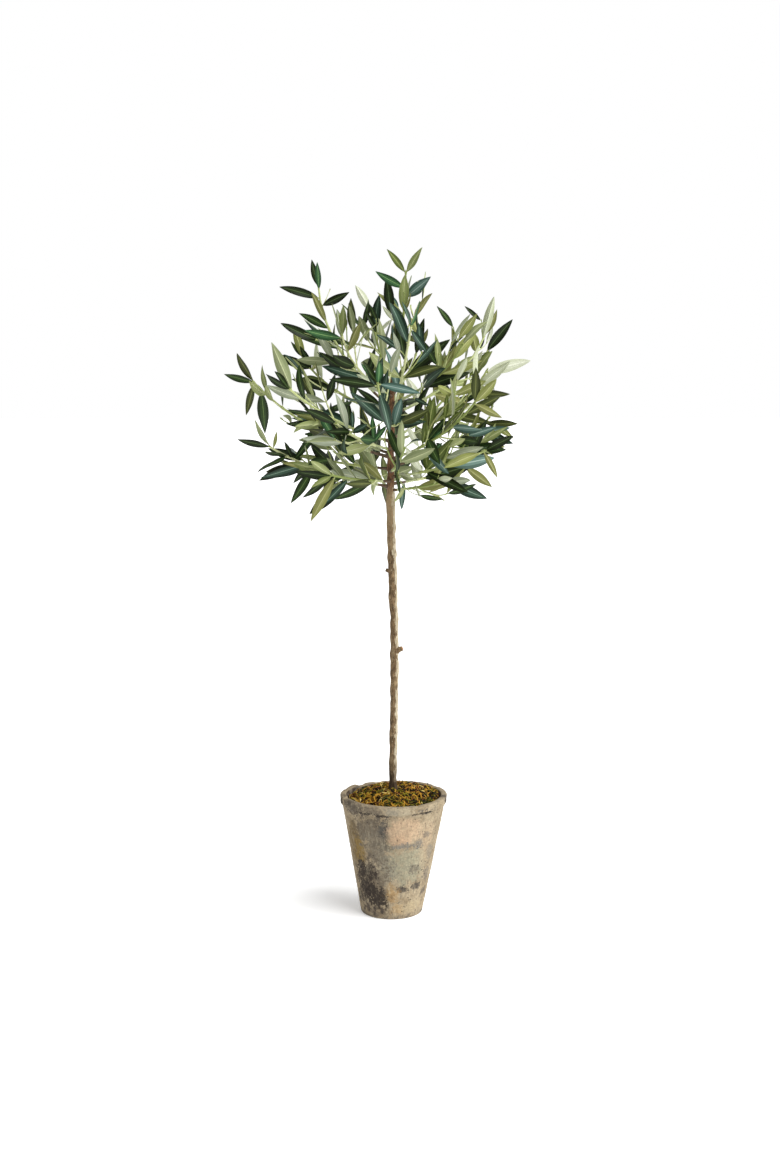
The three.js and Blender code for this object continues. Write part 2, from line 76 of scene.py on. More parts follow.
# One bough and one mass of foliage for each row, as in the frame: its name, where the bough leaves
# the trunk, its azimuth, how far out and how high its stem ends, and the seed of its leaves.
LIMBS = (
    ("top", 612, -30, 15, 735, 7),
    ("left_top", 585, 168, 87, 722, 8),
    ("far_left", 530, -171, 158, 615, 6),
    ("left_low", 497, -165, 142, 543, 2),
    ("left_front", 548, -143, 140, 606, 0),
    ("left_back_high", 577, 148, 126, 645, 8),
    ("front_left_high", 598, -138, 76, 664, 0),
    ("back_high", 604, 110, 80, 697, 0),
    ("right_high", 600, 52, 45, 668, 0),
    ("front_right_high", 572, -78, 86, 672, 0),
    ("right_top", 590, -20, 80, 655, 0),
    ("right_back_top", 578, 30, 121, 668, 11),
    ("far_right", 546, -19, 108, 627, 0),
    ("front_right", 528, -45, 122, 592, 0),
    ("right", 520, 5, 108, 574, 1),
    ("right_low", 508, -33, 118, 540, 1),
    ("right_back_low", 500, 40, 118, 520, 0),
    ("front_low", 514, -85, 126, 545, 0),
    ("front", 556, -97, 140, 612, 0),
    ("front_left", 539, -120, 122, 570, 0),
    ("front_left_low", 503, -124, 120, 515, 9),
    ("back", 562, 88, 150, 600, 0),
    ("back_left", 534, 131, 146, 590, 0),
    ("back_right", 551, 60, 146, 612, 0),
    ("back_low", 492, 101, 138, 528, 0),
    ("left_back_low", 517, 152, 128, 532, 0),
    ("right_small", 493, -25, 66, 506, 9),
)
# Boughs, with the collar at their feet, the stems of the masses and their side twigs.
BOUGH = Values(
    radius=1.7, tip_radius=1.25, share=0.27, steep_at=1.6, elbow_out=(0.55, 0.95),
    elbow_up=(0.25, 0.5), collar=0.9, collar_reach=0.16, rough=0.12, shake=0.25,
    brown=(0.25, 0.55), node=((0.62,), 0.035, 0.35), mesh=(26, 14),
)
STEM = Values(radius=1.25, tip_radius=0.8, first_node=7.0, node_gap=26.0, sway=0.09, shake=0.12)
TWIG = Values(
    radius=0.95, length=40.0, length_spread=0.25, angle=44.0, angle_spread=10.0, share_from=0.1,
    share_span=0.3, count=2, first_node=12.0, leaf_share=1.1, bare_to=0.25, bend_at=0.55,
    tip_out=0.85, tip_up=0.25, turn_from=45.0, samples=(0.35, 0.5, 0.65, 0.8, 1),
)
# Finer twigs with young leaves, which grow from the stems inside the same reach.
FINE = Values(
    radius=0.55, tip_radius=0.35, length=22.0, length_spread=0.35, angle=50.0, angle_spread=18.0,
    bend_at=0.6, tip_out=1.0, tip_up=0.2, count=2, highest=0.85, below_top=8.0,
    nodes=(0.45, 1.0), last=0.99, leaf=31.0, leaf_long=1.15, leaf_less=0.3, leaf_spread=0.2,
    leaf_angles=(42, 24), ease=0.62, space=1.5, leaf_space=0.7, clear_from=0.4, taken_from=0.3,
)
# Grown leaves: their sizes, how they leave a stem, curve and face outwards, and the points at which
# their space is tested.
LEAF = Values(
    length=55.0, tip_length=38.0, length_spread=0.14, slimness=0.235, angle=46.0, tip_angle=24.0,
    spread=17.0, around=16.0, around_more=9.0, bend=-0.04, bend_spread=0.14, sweep=0.1,
    turn=0.72, tangent=0.8, roll=24.0, samples=(0.3, 0.44, 0.58, 0.72, 0.86),
    sides=(-0.85, 0, 0.85), last=0.995,
)
# Single leaves that show most from the front, each listed: its limb, how far along that it grows,
# the way from its root to its tip, its shade, and whether its dark side is in front.
SET_LEAVES = (
    ("far_left", 0.99, (-11, 4, -36), "khaki", True),
    ("far_left", 0.92, (8, 22, -50), "forest", True),
    ("left_top", 0.9, (-44, -6, 17), "bottle", True),
    ("left_top", 0.84, (32, -12, 15), "bottle", True),
    ("left_spray", 0.99, (-42, -6, 19), "bottle", True),
    ("left_top", 0.65, (-32, -6, 20), "forest", True),
    ("left_front", 0.97, (-24, -8, 51), "bottle", False),
    ("left_front", 0.86, (-40, 10, 14), "teal", False),
    ("left_front", 0.7, (30, 6, -42), "bottle", True),
    ("left_back_high", 0.95, (-10, -14, 40), "olive", False),
    ("far_right", 0.97, (48, -6, 17), "cream", False),
    ("far_right", 0.8, (38, -16, 30), "sage", False),
    ("right_back_top", 0.97, (13, -10, 48), "sage", False),
    ("spur", 0.99, (25, -8, 40), "bottle", True),
    ("front", 0.96, (-50, -4, 12), "bottle", True),
    ("front", 0.99, (44, -8, -8), "slate", True),
    ("front", 0.88, (16, -22, -40), "teal", True),
    ("front_right_high", 0.98, (16, -8, -26), "teal", True),
    ("front_right", 0.42, (12, -6, 16), "fresh", True),
    ("front_left_high", 0.97, (-42, -14, 6), "fresh", True),
    ("front_left_low", 0.93, (-28, -4, -49), "khaki", False),
    ("front_left_low", 0.7, (-25, -16, -32), "teal", True),
    ("front_left_low", 0.9, (-44, 6, 2), "bottle", True),
    ("front_left_low", 0.99, (-31, -4, -25), "bottle", True),
    ("front_left_low", 0.3, (-44, 2, -22), "forest", True),
    ("front_left_low", 0.12, (-23, -8, 25), "khaki", False),
    ("front_left", 0.3, (-36, -10, -6), "cream", False),
    ("front", 0.3, (18, -12, -40), "forest", True),
    ("right_back_low", 0.14, (-5, 4, -32), "slate", True),
    ("hanging", 0.98, (28, -2, -6), "forest", True),
    ("hanging", 0.55, (-11, -2, -17), "fresh", False),
    ("right_low", 0.95, (-44, -14, -10), "olive", False),
    ("right_back_low", 0.9, (32, -10, -25), "khaki", False),
    ("right_low", 0.98, (18, -2, -27), "khaki", False),
    ("right_small", 0.99, (44, 10, -27), "teal", True),
    ("right", 0.92, (38, -12, 0), "khaki", True),
    ("right", 0.84, (46, -20, -6), "teal", True),
    ("upright", 0.99, (-17, -2, 25), "forest", True),
    ("upright", 0.4, (20, -6, 30), "olive", False),
    ("plume", 0.99, (-20, -4, 16), "bottle", True),
    ("far_right", 0.75, (42, -10, -3), "khaki", True),
    ("far_left", 0.99, (-33, -4, 11), "forest", True),
    ("top", 0.86, (-34, -8, 16), "fresh", True),
    ("crest", 0.99, (-5, 6, 46), "bottle", True),
    ("crest", 0.7, (-12, -10, 16), "sage", False),
    ("left_top", 0.99, (-12, 6, 31), "bottle", True),
    ("left_top", 0.97, (1, -14, 29), "fresh", True),
    ("left_top", 0.7, (-17, -6, 34), "khaki", False),
    ("left_low", 0.6, (-19, -4, -43), "forest", True),
    ("left_low", 0.97, (5, -3, 19), "olive", False),
    ("left_low", 0.78, (-14, -4, 17), "bottle", True),
    ("far_left", 0.46, (-24, -10, -35), "forest", True),
    ("left_low", 0.72, (-46, -6, -22), "bottle", True),
    ("front", 0.32, (-36, -12, 36), "teal", True),
    ("front", 0.28, (-13, -10, -19), "fresh", True),
    ("front", 0.66, (-28, -8, 16), "bottle", True),
    ("left_back_high", 0.82, (-12, -8, 27), "bottle", True),
    ("left_back_high", 0.99, (-14, -10, 16), "forest", True),
    ("front_left", 0.35, (-20, -6, 38), "khaki", False),
    ("front_left", 0.29, (-2, -7, 33), "fresh", True),
    ("front_right", 0.29, (-17, -8, 24), "cream", False),
    ("front_right", 0.34, (28, -14, 25), "forest", True),
    ("right", 0.32, (13, -14, 15), "fresh", True),
    ("right_low", 0.3, (-19, -10, 27), "cream", False),
    ("front_right", 0.99, (29, -4, -16), "khaki", False),
    ("right", 0.97, (34, -6, -14), "olive", False),
    ("right_high", 0.75, (16, -10, 23), "khaki", False),
    ("front_left_high", 0.35, (8, -14, 34), "bottle", True),
)
# Fine twigs that show at the crown's edge, each listed: the limb of each, how far along that it
# grows, and the ways from its root to its bend and to its tip.
SET_TWIGS = {
    "hanging": ("front_low", 0.33, (5, -2, -26), (26, -4, -31)),
    "upright": ("right_top", 0.98, (-6, -2, 8), (-9, -4, 20)),
    "plume": ("right_back_top", 0.97, (-2, -2, 10), (-2, -4, 21)),
    "spur": ("right_back_top", 0.8, (8, -3, 1), (14, -4, 3)),
    "crest": ("top", 0.5, (-8, -3, 6), (-13, -4, 13)),
    "left_spray": ("left_top", 0.5, (-10, -2, 3), (-23, -3, 8)),
}
# The shade of grown leaves that show most, by their seeds, and whether the dark side is in front.
SHADED = {
    27901: ("khaki", False), 16102: ("slate", True), 8007: ("cream", False),
    13006: ("sage", False), 17001: ("sage", False), 5008: ("bottle", True),
    14007: ("khaki", True), 13002: ("khaki", True), 13061: ("olive", False),
}
# Grown leaves at the crown's edge that show their full width, by their seeds.
FACED = (1706, 1707, 8007)
# Where the photograph shows the trunk bare inside the crown, and how straight to the front a leaf
# may point. The leaves in front of it, and those that are seen end on, are left out.
BARE = Values(front=-15.0, low=440.0, high=552.0, half=3.5, end_on=0.88)
# Gaps where the sky shows through the crown, in the photograph's pixels: across, down and radius.
# A leaf with this share of itself in them is left out.
SKY_SHARE = 0.4
SKY = np.array([
    (307, 256, 8), (321, 256, 8), (326, 287, 9), (331, 277, 8), (335, 289, 8), (303, 283, 10),
    (236, 373, 9), (291, 314, 9), (342, 304, 9), (303, 328, 8), (299, 347, 7), (294, 402, 9),
    (277, 410, 11), (268, 419, 9), (246, 414, 6), (299, 436, 12), (285, 452, 6), (252, 398, 8),
    (342, 504, 8), (376, 295, 9), (399, 272, 6), (416, 273, 7), (433, 291, 9), (407, 351, 11),
    (430, 328, 11), (445, 332, 9), (462, 354, 8), (484, 306, 8), (499, 343, 8), (497, 362, 9),
    (506, 379, 9), (492, 380, 8), (498, 472, 8), (507, 411, 9), (511, 445, 9), (480, 461, 8),
    (432, 493, 8), (464, 497, 9),
])
# How far a set leaf may turn in degrees, with more at each further try, and how far it may curve.
SET_TURN = Values(first=4.0, more=5.0, bend=0.07, sweep=0.09, roll=20.0)
# The space around a leaf's points and around a limb, how often a leaf is tried, and how far its tip
# may be out of its mass's own space.
SPACING = 4.4
LIMB_SPACE = 2.4
TRIES = 7
OVERREACH = 14.0
# How closely stems and limbs are sampled, from where the trunk takes up space, and the top.
STEM_SAMPLES = 12
LIMB_SAMPLE_GAP = 3.0
LOWEST_LEAF = 440.0
TOP = 762.0
# Where the random draws of each thing start, and the steps from one to the next.
SEED = Values(
    limb=7000, mass=1000, choice=100, twig=50, twig_step=7, twig_leaf=60, twig_leaf_step=20,
    tries=16, set=300000, fine=500000, fine_mass=100, fine_step=10, looks=900000, boughs=31,
    stems=57, twigs=5000, fine_twigs=7000, leaf_looks=37, young=5,
)


class Roller:
    """Numbers from 0 to 1 that are the same on every run, and the same as the frame was grown by."""

    def __init__(self, seed):
        self.state = seed
        for _ in range(3):
            self.roll()

    def roll(self):
        self.state = (self.state * 1664525 + 1013904223) % 4294967296
        return self.state / 4294967296

    def spread(self, amount):
        return (2 * self.roll() - 1) * amount

    def between(self, low, high):
        return low + (high - low) * self.roll()

    def turn(self, most):
        """An angle either way, in radians. The most is in degrees."""
        return math.radians(self.spread(most))

    def pick(self, weights):
        """A name from names with weights."""
        left = self.roll() * sum(weights.values())
        for name, weight in weights.items():
            left -= weight
            if left <= 0:
                break
        return name


def lerp(a, b, share):
    return a + (b - a) * share


def smooth(low, high, value):
    share = np.clip((value - low) / (high - low), 0, 1)
    return share * share * (3 - 2 * share)


def size_of(vector):
    return math.sqrt(vector @ vector)


def unit(vector):
    return vector / size_of(vector)


def turned(vector, axis, angle):
    """A vector turned about a unit axis."""
    cos, sin = math.cos(angle), math.sin(angle)
    return vector * cos + np.cross(axis, vector) * sin + axis * (axis @ vector) * (1 - cos)


def outwards(azimuth):
    angle = math.radians(azimuth)
    return np.array([math.cos(angle), math.sin(angle), 0.0])


def side_of(direction):
    """A nearly level unit vector square to a direction."""
    side = np.cross(direction, UP)
    if size_of(side) < 0.2:
        side = np.cross(direction, np.array([1.0, 0.0, 0.0]))
    return unit(side)


def off_by(azimuth, middle):
    """How far an azimuth is from another, from -180 to 180 degrees."""
    return (azimuth - middle + 180) % 360 - 180


def field(points, scale, offset):
    """Smooth noise from -1 to 1 at each point, with lumps about 1/scale in size."""
    shift = Vector((offset, offset * 0.7, offset * 1.3))
    values = [noise.noise(Vector(p) * scale + shift) for p in points.reshape(-1, 3)]
    return np.array(values).reshape(points.shape[:-1])


# The limbs

def trunk_centre(height):
    share = (height - TRUNK.foot) / (TRUNK.tip - TRUNK.foot)
    sway = TRUNK.sway_x * math.sin(TRUNK.sway_turns * (share - TRUNK.sway_start))
    x = TRUNK.foot_x + TRUNK.lean_x * share + sway
    return np.array([x, TRUNK.sway_y * math.sin(share * TRUNK.sway_turns_y), height])


def trunk_radius(height):
    flare = max(0.0, 1 - (height - TRUNK.foot) / TRUNK.flare)
    rise = min(1.0, (height - TRUNK.foot) / (TRUNK.taper_from - TRUNK.foot))
    tip = max(0.0, (height - TRUNK.taper_from) / (TRUNK.tip - TRUNK.taper_from))
    shaft = lerp(lerp(TRUNK.radius, TRUNK.upper_radius, rise), TRUNK.tip_radius, tip)
    wood = shaft + (TRUNK.foot_radius - TRUNK.radius) * flare * flare
    short, long = TRUNK.knuckle_waves
    knuckles = math.sin(height * short) * math.sin(height * long + 0.8)
    return wood + TRUNK.knuckle * knuckles * min(1, (TRUNK.tip - height) / 60)


class Curve:
    """A bend from a to c, pulled towards b."""

    def __init__(self, a, b, c):
        self.a, self.b, self.c = a, b, c
        line = self.line(0, 1, 200)
        self.length = float(np.sqrt((np.diff(line, axis=0) ** 2).sum(1)).sum())

    def at(self, t):
        return self.a * (1 - t) ** 2 + self.b * 2 * t * (1 - t) + self.c * t * t

    def along(self, t):
        return unit((self.b - self.a) * (1 - t) + (self.c - self.b) * t)

    def line(self, start, end, steps):
        return np.array([self.at(t) for t in np.linspace(start, end, steps + 1)])


def limb_curve(row, number):
    """The line of a bough and its stem: out of the trunk, then up."""
    _, foot, azimuth, reach, height, _ = row
    roller = Roller(SEED.limb + number)
    out = outwards(azimuth)
    side = np.array([-out[1], out[0], 0.0])
    tip = CROWN + out * reach + UP * height
    steep = min(1.0, (height - foot) / (reach * BOUGH.steep_at))
    elbow = CROWN + UP * lerp(foot, height, lerp(*BOUGH.elbow_up, steep))
    elbow = elbow + out * reach * lerp(*BOUGH.elbow_out, steep)
    elbow = elbow + side * roller.spread(STEM.sway) * reach
    return Curve(trunk_centre(foot), elbow, tip)


def branch(curve, t, turn, kind, roller):
    """A short twig off a stem: out at an angle, and bent up a little."""
    along = curve.along(t)
    around = turned(side_of(along), along, turn)
    angle = math.radians(kind.angle + roller.spread(kind.angle_spread))
    length = kind.length * (1 + roller.spread(kind.length_spread))
    direction = along * math.cos(angle) + around * math.sin(angle)
    root = curve.at(t)
    tip = root + direction * (length * kind.tip_out) + UP * (length * kind.tip_up)
    return Curve(root, root + direction * (length * kind.bend_at), tip)


def nodes_of(curve, start, first_node):
    """How many pairs of leaves follow the first one of a stem, and the share at which that is."""
    length = curve.length * (1 - start)
    return max(1, math.floor((length - first_node) / STEM.node_gap + 0.5)), first_node / length


# The leaves

def leaf_point(leaf, share):
    """A point of a leaf's middle line at a share of its length."""
    curl = leaf["face"] * leaf["bend"] + leaf["across"] * leaf["sweep"]
    return leaf["root"] + (leaf["along"] * share + curl * share * share) * leaf["length"]


def leaf_samples(leaf):
    """Points that stand for a leaf where it is tested against the others."""
    half = leaf["length"] * LEAF.slimness / 2
    points = [
        leaf_point(leaf, share) + leaf["across"] * side * half
        for share in LEAF.samples
        for side in LEAF.sides
    ]
    return np.array(points + [leaf_point(leaf, 1)])


def leaf_at(place, seed, attempt):
    """One try at a leaf: its way out from the stem, its length, and its blade turned outwards."""
    roller = Roller(seed * SEED.tries + attempt)
    root, along, around, angle, length = place
    around = turned(around, along, roller.turn(LEAF.around + LEAF.around_more * attempt))
    angle = math.radians(angle + roller.spread(LEAF.spread))
    length = length * (1 + roller.spread(LEAF.length_spread))
    bend = LEAF.bend + roller.spread(LEAF.bend_spread)
    sweep = roller.spread(LEAF.sweep)
    direction = along * math.cos(angle) + around * math.sin(angle)
    natural = along * math.sin(angle) - around * math.cos(angle)
    tangent = LEAF.tangent if roller.roll() < 0.5 else -LEAF.tangent
    wanted = outward_face(root, direction, natural, tangent)
    face = unit(natural * (1 - LEAF.turn) + wanted * LEAF.turn)
    face = turned(face, direction, roller.turn(LEAF.roll))
    return leaf_of(root, direction, face, length, bend, sweep)


def outward_face(root, direction, natural, tangent):
    """The way that a blade would face to be seen from outside the crown."""
    out = np.array([root[0] - CROWN[0], root[1], 0.0])
    out = out / max(1.0, size_of(out))
    wanted = out + np.array([-out[1], out[0], 0.0]) * tangent
    wanted = wanted - direction * (wanted @ direction)
    wanted = unit(wanted if size_of(wanted) >= 0.05 else natural)
    return -wanted if wanted @ natural < 0 else wanted


def leaf_of(root, along, face, length, bend, sweep):
    return {
        "root": root, "along": along, "face": face, "across": np.cross(face, along),
        "length": length, "bend": bend, "sweep": sweep,
    }


def seen_at_trunk(point):
    """Where the line from the camera through a point meets the upright plane of the trunk."""
    eye = CAMERA.place
    return eye + (point - eye) * eye[1] / (eye[1] - point[1])


def in_photo(points):
    """The pixels of the photograph at which points are seen."""
    away = points - CAMERA.place
    down = math.radians(CAMERA.down)
    depth = away[..., 1] * math.cos(down) - away[..., 2] * math.sin(down)
    rise = away[..., 2] * math.cos(down) + away[..., 1] * math.sin(down)
    across = CAMERA.focal * away[..., 0] / depth
    return np.stack([PHOTO[0] / 2 + across, PHOTO[1] / 2 - CAMERA.focal * rise / depth], -1)


def is_left_out(leaf):
    """Whether a leaf fills a gap in the crown, hides the trunk where it shows, or is seen end on."""
    gaps = in_photo(leaf_samples(leaf))[:, None] - SKY[:, :2]
    if (np.sqrt((gaps ** 2).sum(2)) < SKY[:, 2]).any(1).mean() >= SKY_SHARE:
        return True
    if leaf["root"][1] > BARE.front:
        return False
    if abs(leaf["along"] @ FRONT) > BARE.end_on:
        return True
    seen = [seen_at_trunk(point) for point in leaf_samples(leaf)]
    low = [place for place in seen if BARE.low < place[2] < BARE.high]
    return any(abs(place[0] - trunk_centre(place[2])[0]) < BARE.half for place in low)


class Crown:
    """All the limbs and leaves, with the space that each has taken."""

    def __init__(self):
        self.curves = [limb_curve(row, number) for number, row in enumerate(LIMBS)]
        shares = np.linspace(BOUGH.share, 1, STEM_SAMPLES + 1)
        self.lines = np.array([[curve.at(t) for t in shares] for curve in self.curves])
        self.taken, self.keeps = [], []
        self.twigs, self.fine, self.leaves, self.young = [], [], [], []
        for height in np.arange(LOWEST_LEAF, TRUNK.tip + 0.01, LIMB_SAMPLE_GAP):
            self.take([trunk_centre(height)], trunk_radius(height) + LIMB_SPACE)
        for curve in self.curves:
            self.take_limb(curve, 0.02, BOUGH.radius)
        for number in range(len(LIMBS)):
            self.grow_mass(number)
        self.thin_out()
        self.fine += [self.stem_named(name) for name in SET_TWIGS]
        for index in range(len(SET_LEAVES)):
            self.grow_set(index)
        for number in range(len(LIMBS)):
            self.grow_fine(number)
        self.young = [leaf for leaf in self.young if not is_left_out(leaf)]

    def take(self, points, keep):
        self.taken.extend(points)
        self.keeps.extend([keep] * len(points))
        self.points = np.array(self.taken)
        self.keep = np.array(self.keeps)

    def take_limb(self, curve, start, radius):
        steps = math.ceil(curve.length * (1 - start) / LIMB_SAMPLE_GAP)
        self.take(list(curve.line(start, 1, steps)), radius + LIMB_SPACE)

    def is_clear(self, points, ease=1.0):
        reach = SPACING + LIMB_SPACE
        low, high = points.min(0) - reach, points.max(0) + reach
        near = ((self.points > low) & (self.points < high)).all(1)
        gaps = ((points[:, None] - self.points[near][None]) ** 2).sum(2)
        return bool((gaps > (self.keep[near] * ease) ** 2).all())

    def in_own_space(self, point, number):
        gaps = np.sqrt(((self.lines - point) ** 2).sum(2)).min(1)
        return bool((np.delete(gaps, number) > gaps[number] - OVERREACH).all())

    def try_leaf(self, place, number, seed, ease=1.0):
        """A leaf with its samples, turned a few times until it is clear, or None."""
        root, along, turn, angle, length = place
        place = (root, along, turned(side_of(along), along, turn), angle, length)
        for attempt in range(TRIES):
            leaf = leaf_at(place, seed, attempt)
            samples = leaf_samples(leaf)
            tip = samples[-1]
            if tip[2] <= TOP and self.in_own_space(tip, number) and self.is_clear(samples, ease):
                return {**leaf, "mass": number, "seed": seed}, samples
        return None

    def keep_leaves(self, leaves, tried, space):
        for leaf, samples in filter(None, tried):
            leaves.append(leaf)
            self.take(list(samples), space)

    def leaves_along(self, curve, start, first_node, number, seed, longest, quarter):
        """Pairs of leaves along a stem, each a quarter turn on from the last, and a pair at its tip."""
        nodes, first = nodes_of(curve, start, first_node)
        for node in range(nodes + 1):
            share = node / nodes
            t = lerp(start + first * (1 - start), 1, share)
            angle = LEAF.tip_angle if node == nodes else LEAF.angle
            length = lerp(longest, LEAF.tip_length, share * share)
            pair = []
            for mate in (0, 1):
                turn = math.radians(180 * mate + 90 * (node + quarter))
                place = (curve.at(min(t, LEAF.last)), curve.along(t), turn, angle, length)
                pair.append(self.try_leaf(place, number, seed + node * 2 + mate))
            self.keep_leaves(self.leaves, pair, SPACING)

    def side_twig(self, curve, number, seed):
        """A short side twig from the lower part of a stem, or none where there is no room."""
        roller = Roller(seed)
        share = TWIG.share_from + TWIG.share_span * roller.roll()
        turn = math.radians(TWIG.turn_from + 360 * roller.roll())
        twig = branch(curve, lerp(BOUGH.share, 1, share), turn, TWIG, roller)
        points = np.array([twig.at(t) for t in TWIG.samples])
        return twig if self.is_clear(points) and self.in_own_space(twig.c, number) else None

    def grow_mass(self, number):
        """The side twigs and leaves of one mass, in the order that the frame was grown in."""
        curve = self.curves[number]
        seed = SEED.mass * (number + 1) + SEED.choice * LIMBS[number][-1]
        for i in range(TWIG.count):
            twig = self.side_twig(curve, number, seed + SEED.twig + SEED.twig_step * i)
            if twig is None:
                continue
            self.take_limb(twig, TWIG.bare_to, TWIG.radius)
            self.twigs.append((twig, number))
            leaf_seed = seed + SEED.twig_leaf + SEED.twig_leaf_step * i
            longest = LEAF.tip_length * TWIG.leaf_share
            first = TWIG.first_node
            self.leaves_along(twig, TWIG.bare_to, first, number, leaf_seed, longest, i)
        first = STEM.first_node
        self.leaves_along(curve, BOUGH.share, first, number, seed, LEAF.length, number % 2)

    def thin_out(self):
        """Leaves out what is_left_out names, and frees the space that it took."""
        gone = [leaf for leaf in self.leaves if is_left_out(leaf)]
        self.leaves = [leaf for leaf in self.leaves if not is_left_out(leaf)]
        lost = np.concatenate([leaf_samples(leaf) for leaf in gone])[:, None]
        kept = ~(self.points == lost).all(2).any(0)
        self.taken, self.keeps = list(self.points[kept]), list(self.keep[kept])
        self.take([], 0)
        for leaf in self.leaves:
            if leaf["seed"] in FACED:
                leaf["face"] = unit(FRONT - leaf["along"] * (FRONT @ leaf["along"]))
                leaf["across"] = np.cross(leaf["face"], leaf["along"])

    def stem_named(self, name):
        """The curve of a limb or of a set twig, and the number of its mass."""
        limb, share, middle, tip = SET_TWIGS.get(name, (name, 0, None, None))
        number = [row[0] for row in LIMBS].index(limb)
        curve = self.curves[number]
        if name in SET_TWIGS:
            root = curve.at(share)
            curve = Curve(root, root + np.array(middle), root + np.array(tip))
        return curve, number

    def grow_set(self, index):
        """One of the listed leaves, turned a little where another is in its way."""
        limb, share, way, shade, dark = SET_LEAVES[index]
        way = np.array(way, float)
        curve, number = self.stem_named(limb)
        for attempt in range(TRIES):
            roller = Roller(SEED.set + SEED.tries * index + attempt)
            turn = SET_TURN.first + SET_TURN.more * attempt
            along = turned(unit(way), FRONT, roller.turn(turn))
            along = turned(along, UP, roller.turn(turn))
            face = unit(FRONT - along * (FRONT @ along))
            face = turned(face, along, roller.turn(SET_TURN.roll))
            bend, sweep = -roller.roll() * SET_TURN.bend, roller.spread(SET_TURN.sweep)
            leaf = leaf_of(curve.at(share), along, face, size_of(way), bend, sweep)
            leaf.update(mass=number, seed=SEED.set + index, shade=shade, dark=dark)
            samples = leaf_samples(leaf)
            if samples[-1][2] <= TOP and self.is_clear(samples, FINE.ease):
                self.keep_leaves(self.leaves, [(leaf, samples)], SPACING)
                return

    def grow_fine(self, number):
        """Finer twigs on a mass's stem, each with a pair of young leaves at its middle and its tip."""
        for i in range(FINE.count):
            seed = SEED.fine + SEED.fine_mass * number + SEED.fine_step * i
            roller = Roller(seed)
            t = lerp(BOUGH.share, FINE.highest, (i + roller.roll()) / FINE.count)
            twig = branch(self.curves[number], t, 2 * math.pi * roller.roll(), FINE, roller)
            too_high = twig.c[2] > TOP - FINE.below_top
            if too_high or not self.is_clear(twig.line(FINE.clear_from, 1, 4), FINE.ease):
                continue
            tried = []
            for node, share in enumerate(FINE.nodes):
                root, heading = twig.at(min(share, FINE.last)), twig.along(share)
                angle = lerp(*FINE.leaf_angles, share)
                for mate in (0, 1):
                    turn = math.pi * (mate + node / 2)
                    length = FINE.leaf_long - FINE.leaf_less * share
                    length = FINE.leaf * (length + roller.spread(FINE.leaf_spread))
                    place = (root, heading, turn, angle, length)
                    tried.append(self.try_leaf(place, number, seed + node * 2 + mate, FINE.ease))
            if any(tried):
                self.take(list(twig.line(FINE.taken_from, 1, 4)), FINE.radius + FINE.space)
                self.fine.append((twig, number))
                self.keep_leaves(self.young, tried, SPACING * FINE.leaf_space)


# Meshes made from arrays

class Pile:
    """Shapes joined into one mesh: their corners in millimetres, faces and material numbers."""

    def __init__(self):
        self.points, self.faces, self.paints = [], [], []
        self.count = 0

    def add(self, points, *groups):
        """Adds corners, and groups of faces, each with one material number or one for each face."""
        for faces, paint in groups:
            self.faces.append(faces + self.count)
            self.paints.append(np.broadcast_to(np.asarray(paint), (len(faces),)))
        self.points.append(np.asarray(points, float).reshape(-1, 3))
        self.count += len(self.points[-1])

    def add_shell(self, points, sides, paint, end_paint):
        """Adds a closed shape: its rings of corners, then one corner for each of its two ends."""
        count = len(points) - 2
        ends = end_fans(0, count - sides, sides, (count, count + 1))
        self.add(points, (ring_faces(count // sides, sides), paint), (ends, end_paint))

    def piece(self, name, materials, sharp):
        """The joined mesh as an object, smooth but for its sharp edges."""
        mesh = bpy.data.meshes.new(name)
        points = np.concatenate(self.points) * MM
        loops = np.concatenate([faces.ravel() for faces in self.faces])
        sizes = np.concatenate([np.full(len(faces), faces.shape[1]) for faces in self.faces])
        mesh.vertices.add(len(points))
        mesh.vertices.foreach_set("co", points.ravel())
        mesh.loops.add(len(loops))
        mesh.loops.foreach_set("vertex_index", loops)
        mesh.polygons.add(len(sizes))
        mesh.polygons.foreach_set("loop_start", np.cumsum(sizes) - sizes)
        for made in materials:
            mesh.materials.append(made)
        mesh.polygons.foreach_set("material_index", np.concatenate(self.paints).astype(np.int32))
        mesh.update(calc_edges=True)
        mesh.validate()
        mesh.set_sharp_from_angle(angle=math.radians(sharp))
        return placed(name, mesh)


def placed(name, data):
    """A new object in the scene."""
    obj = bpy.data.objects.new(name, data)
    bpy.context.scene.collection.objects.link(obj)
    return obj


def ring_angles(sides):
    return np.arange(sides) * 2 * math.pi / sides


def ring_faces(rings, sides):
    """Four-sided faces between rings of equally many corners."""
    around = np.arange(sides)
    level = np.arange(rings - 1)[:, None] * sides
    near, far = level + around, level + (around + 1) % sides
    return np.stack([near, far, far + sides, near + sides], -1).reshape(-1, 4)


def end_fans(first, last, sides, ends):
    """Three-sided faces from the first and the last ring of a shape to the corners at its ends."""
    near = np.arange(sides)
    far = (near + 1) % sides
    start = np.stack([far + first, near + first, np.full(sides, ends[0])], -1)
    return np.concatenate([start, np.stack([near + last, far + last, np.full(sides, ends[1])], -1)])


def tube(line, radii, sides):
    """The corners of a round limb along a line: its rings, and its two ends."""
    line = np.asarray(line, float)
    heading = np.gradient(line, axis=0)
    heading /= np.linalg.norm(heading, axis=1)[:, None]
    side = side_of(heading[0])
    angle = ring_angles(sides)[:, None]
    points = []
    for centre, along, radius in zip(line, heading, radii):
        side = unit(side - along * (side @ along))
        ring = np.cos(angle) * side + np.sin(angle) * np.cross(along, side)
        points.append(centre + ring * radius)
    return np.concatenate(points + [line[:1], line[-1:]])


def add_tube(pile, line, radii, sides, paint, end_paint=None):
    end_paint = paint if end_paint is None else end_paint
    pile.add_shell(tube(line, radii, sides), sides, paint, end_paint)


# Materials

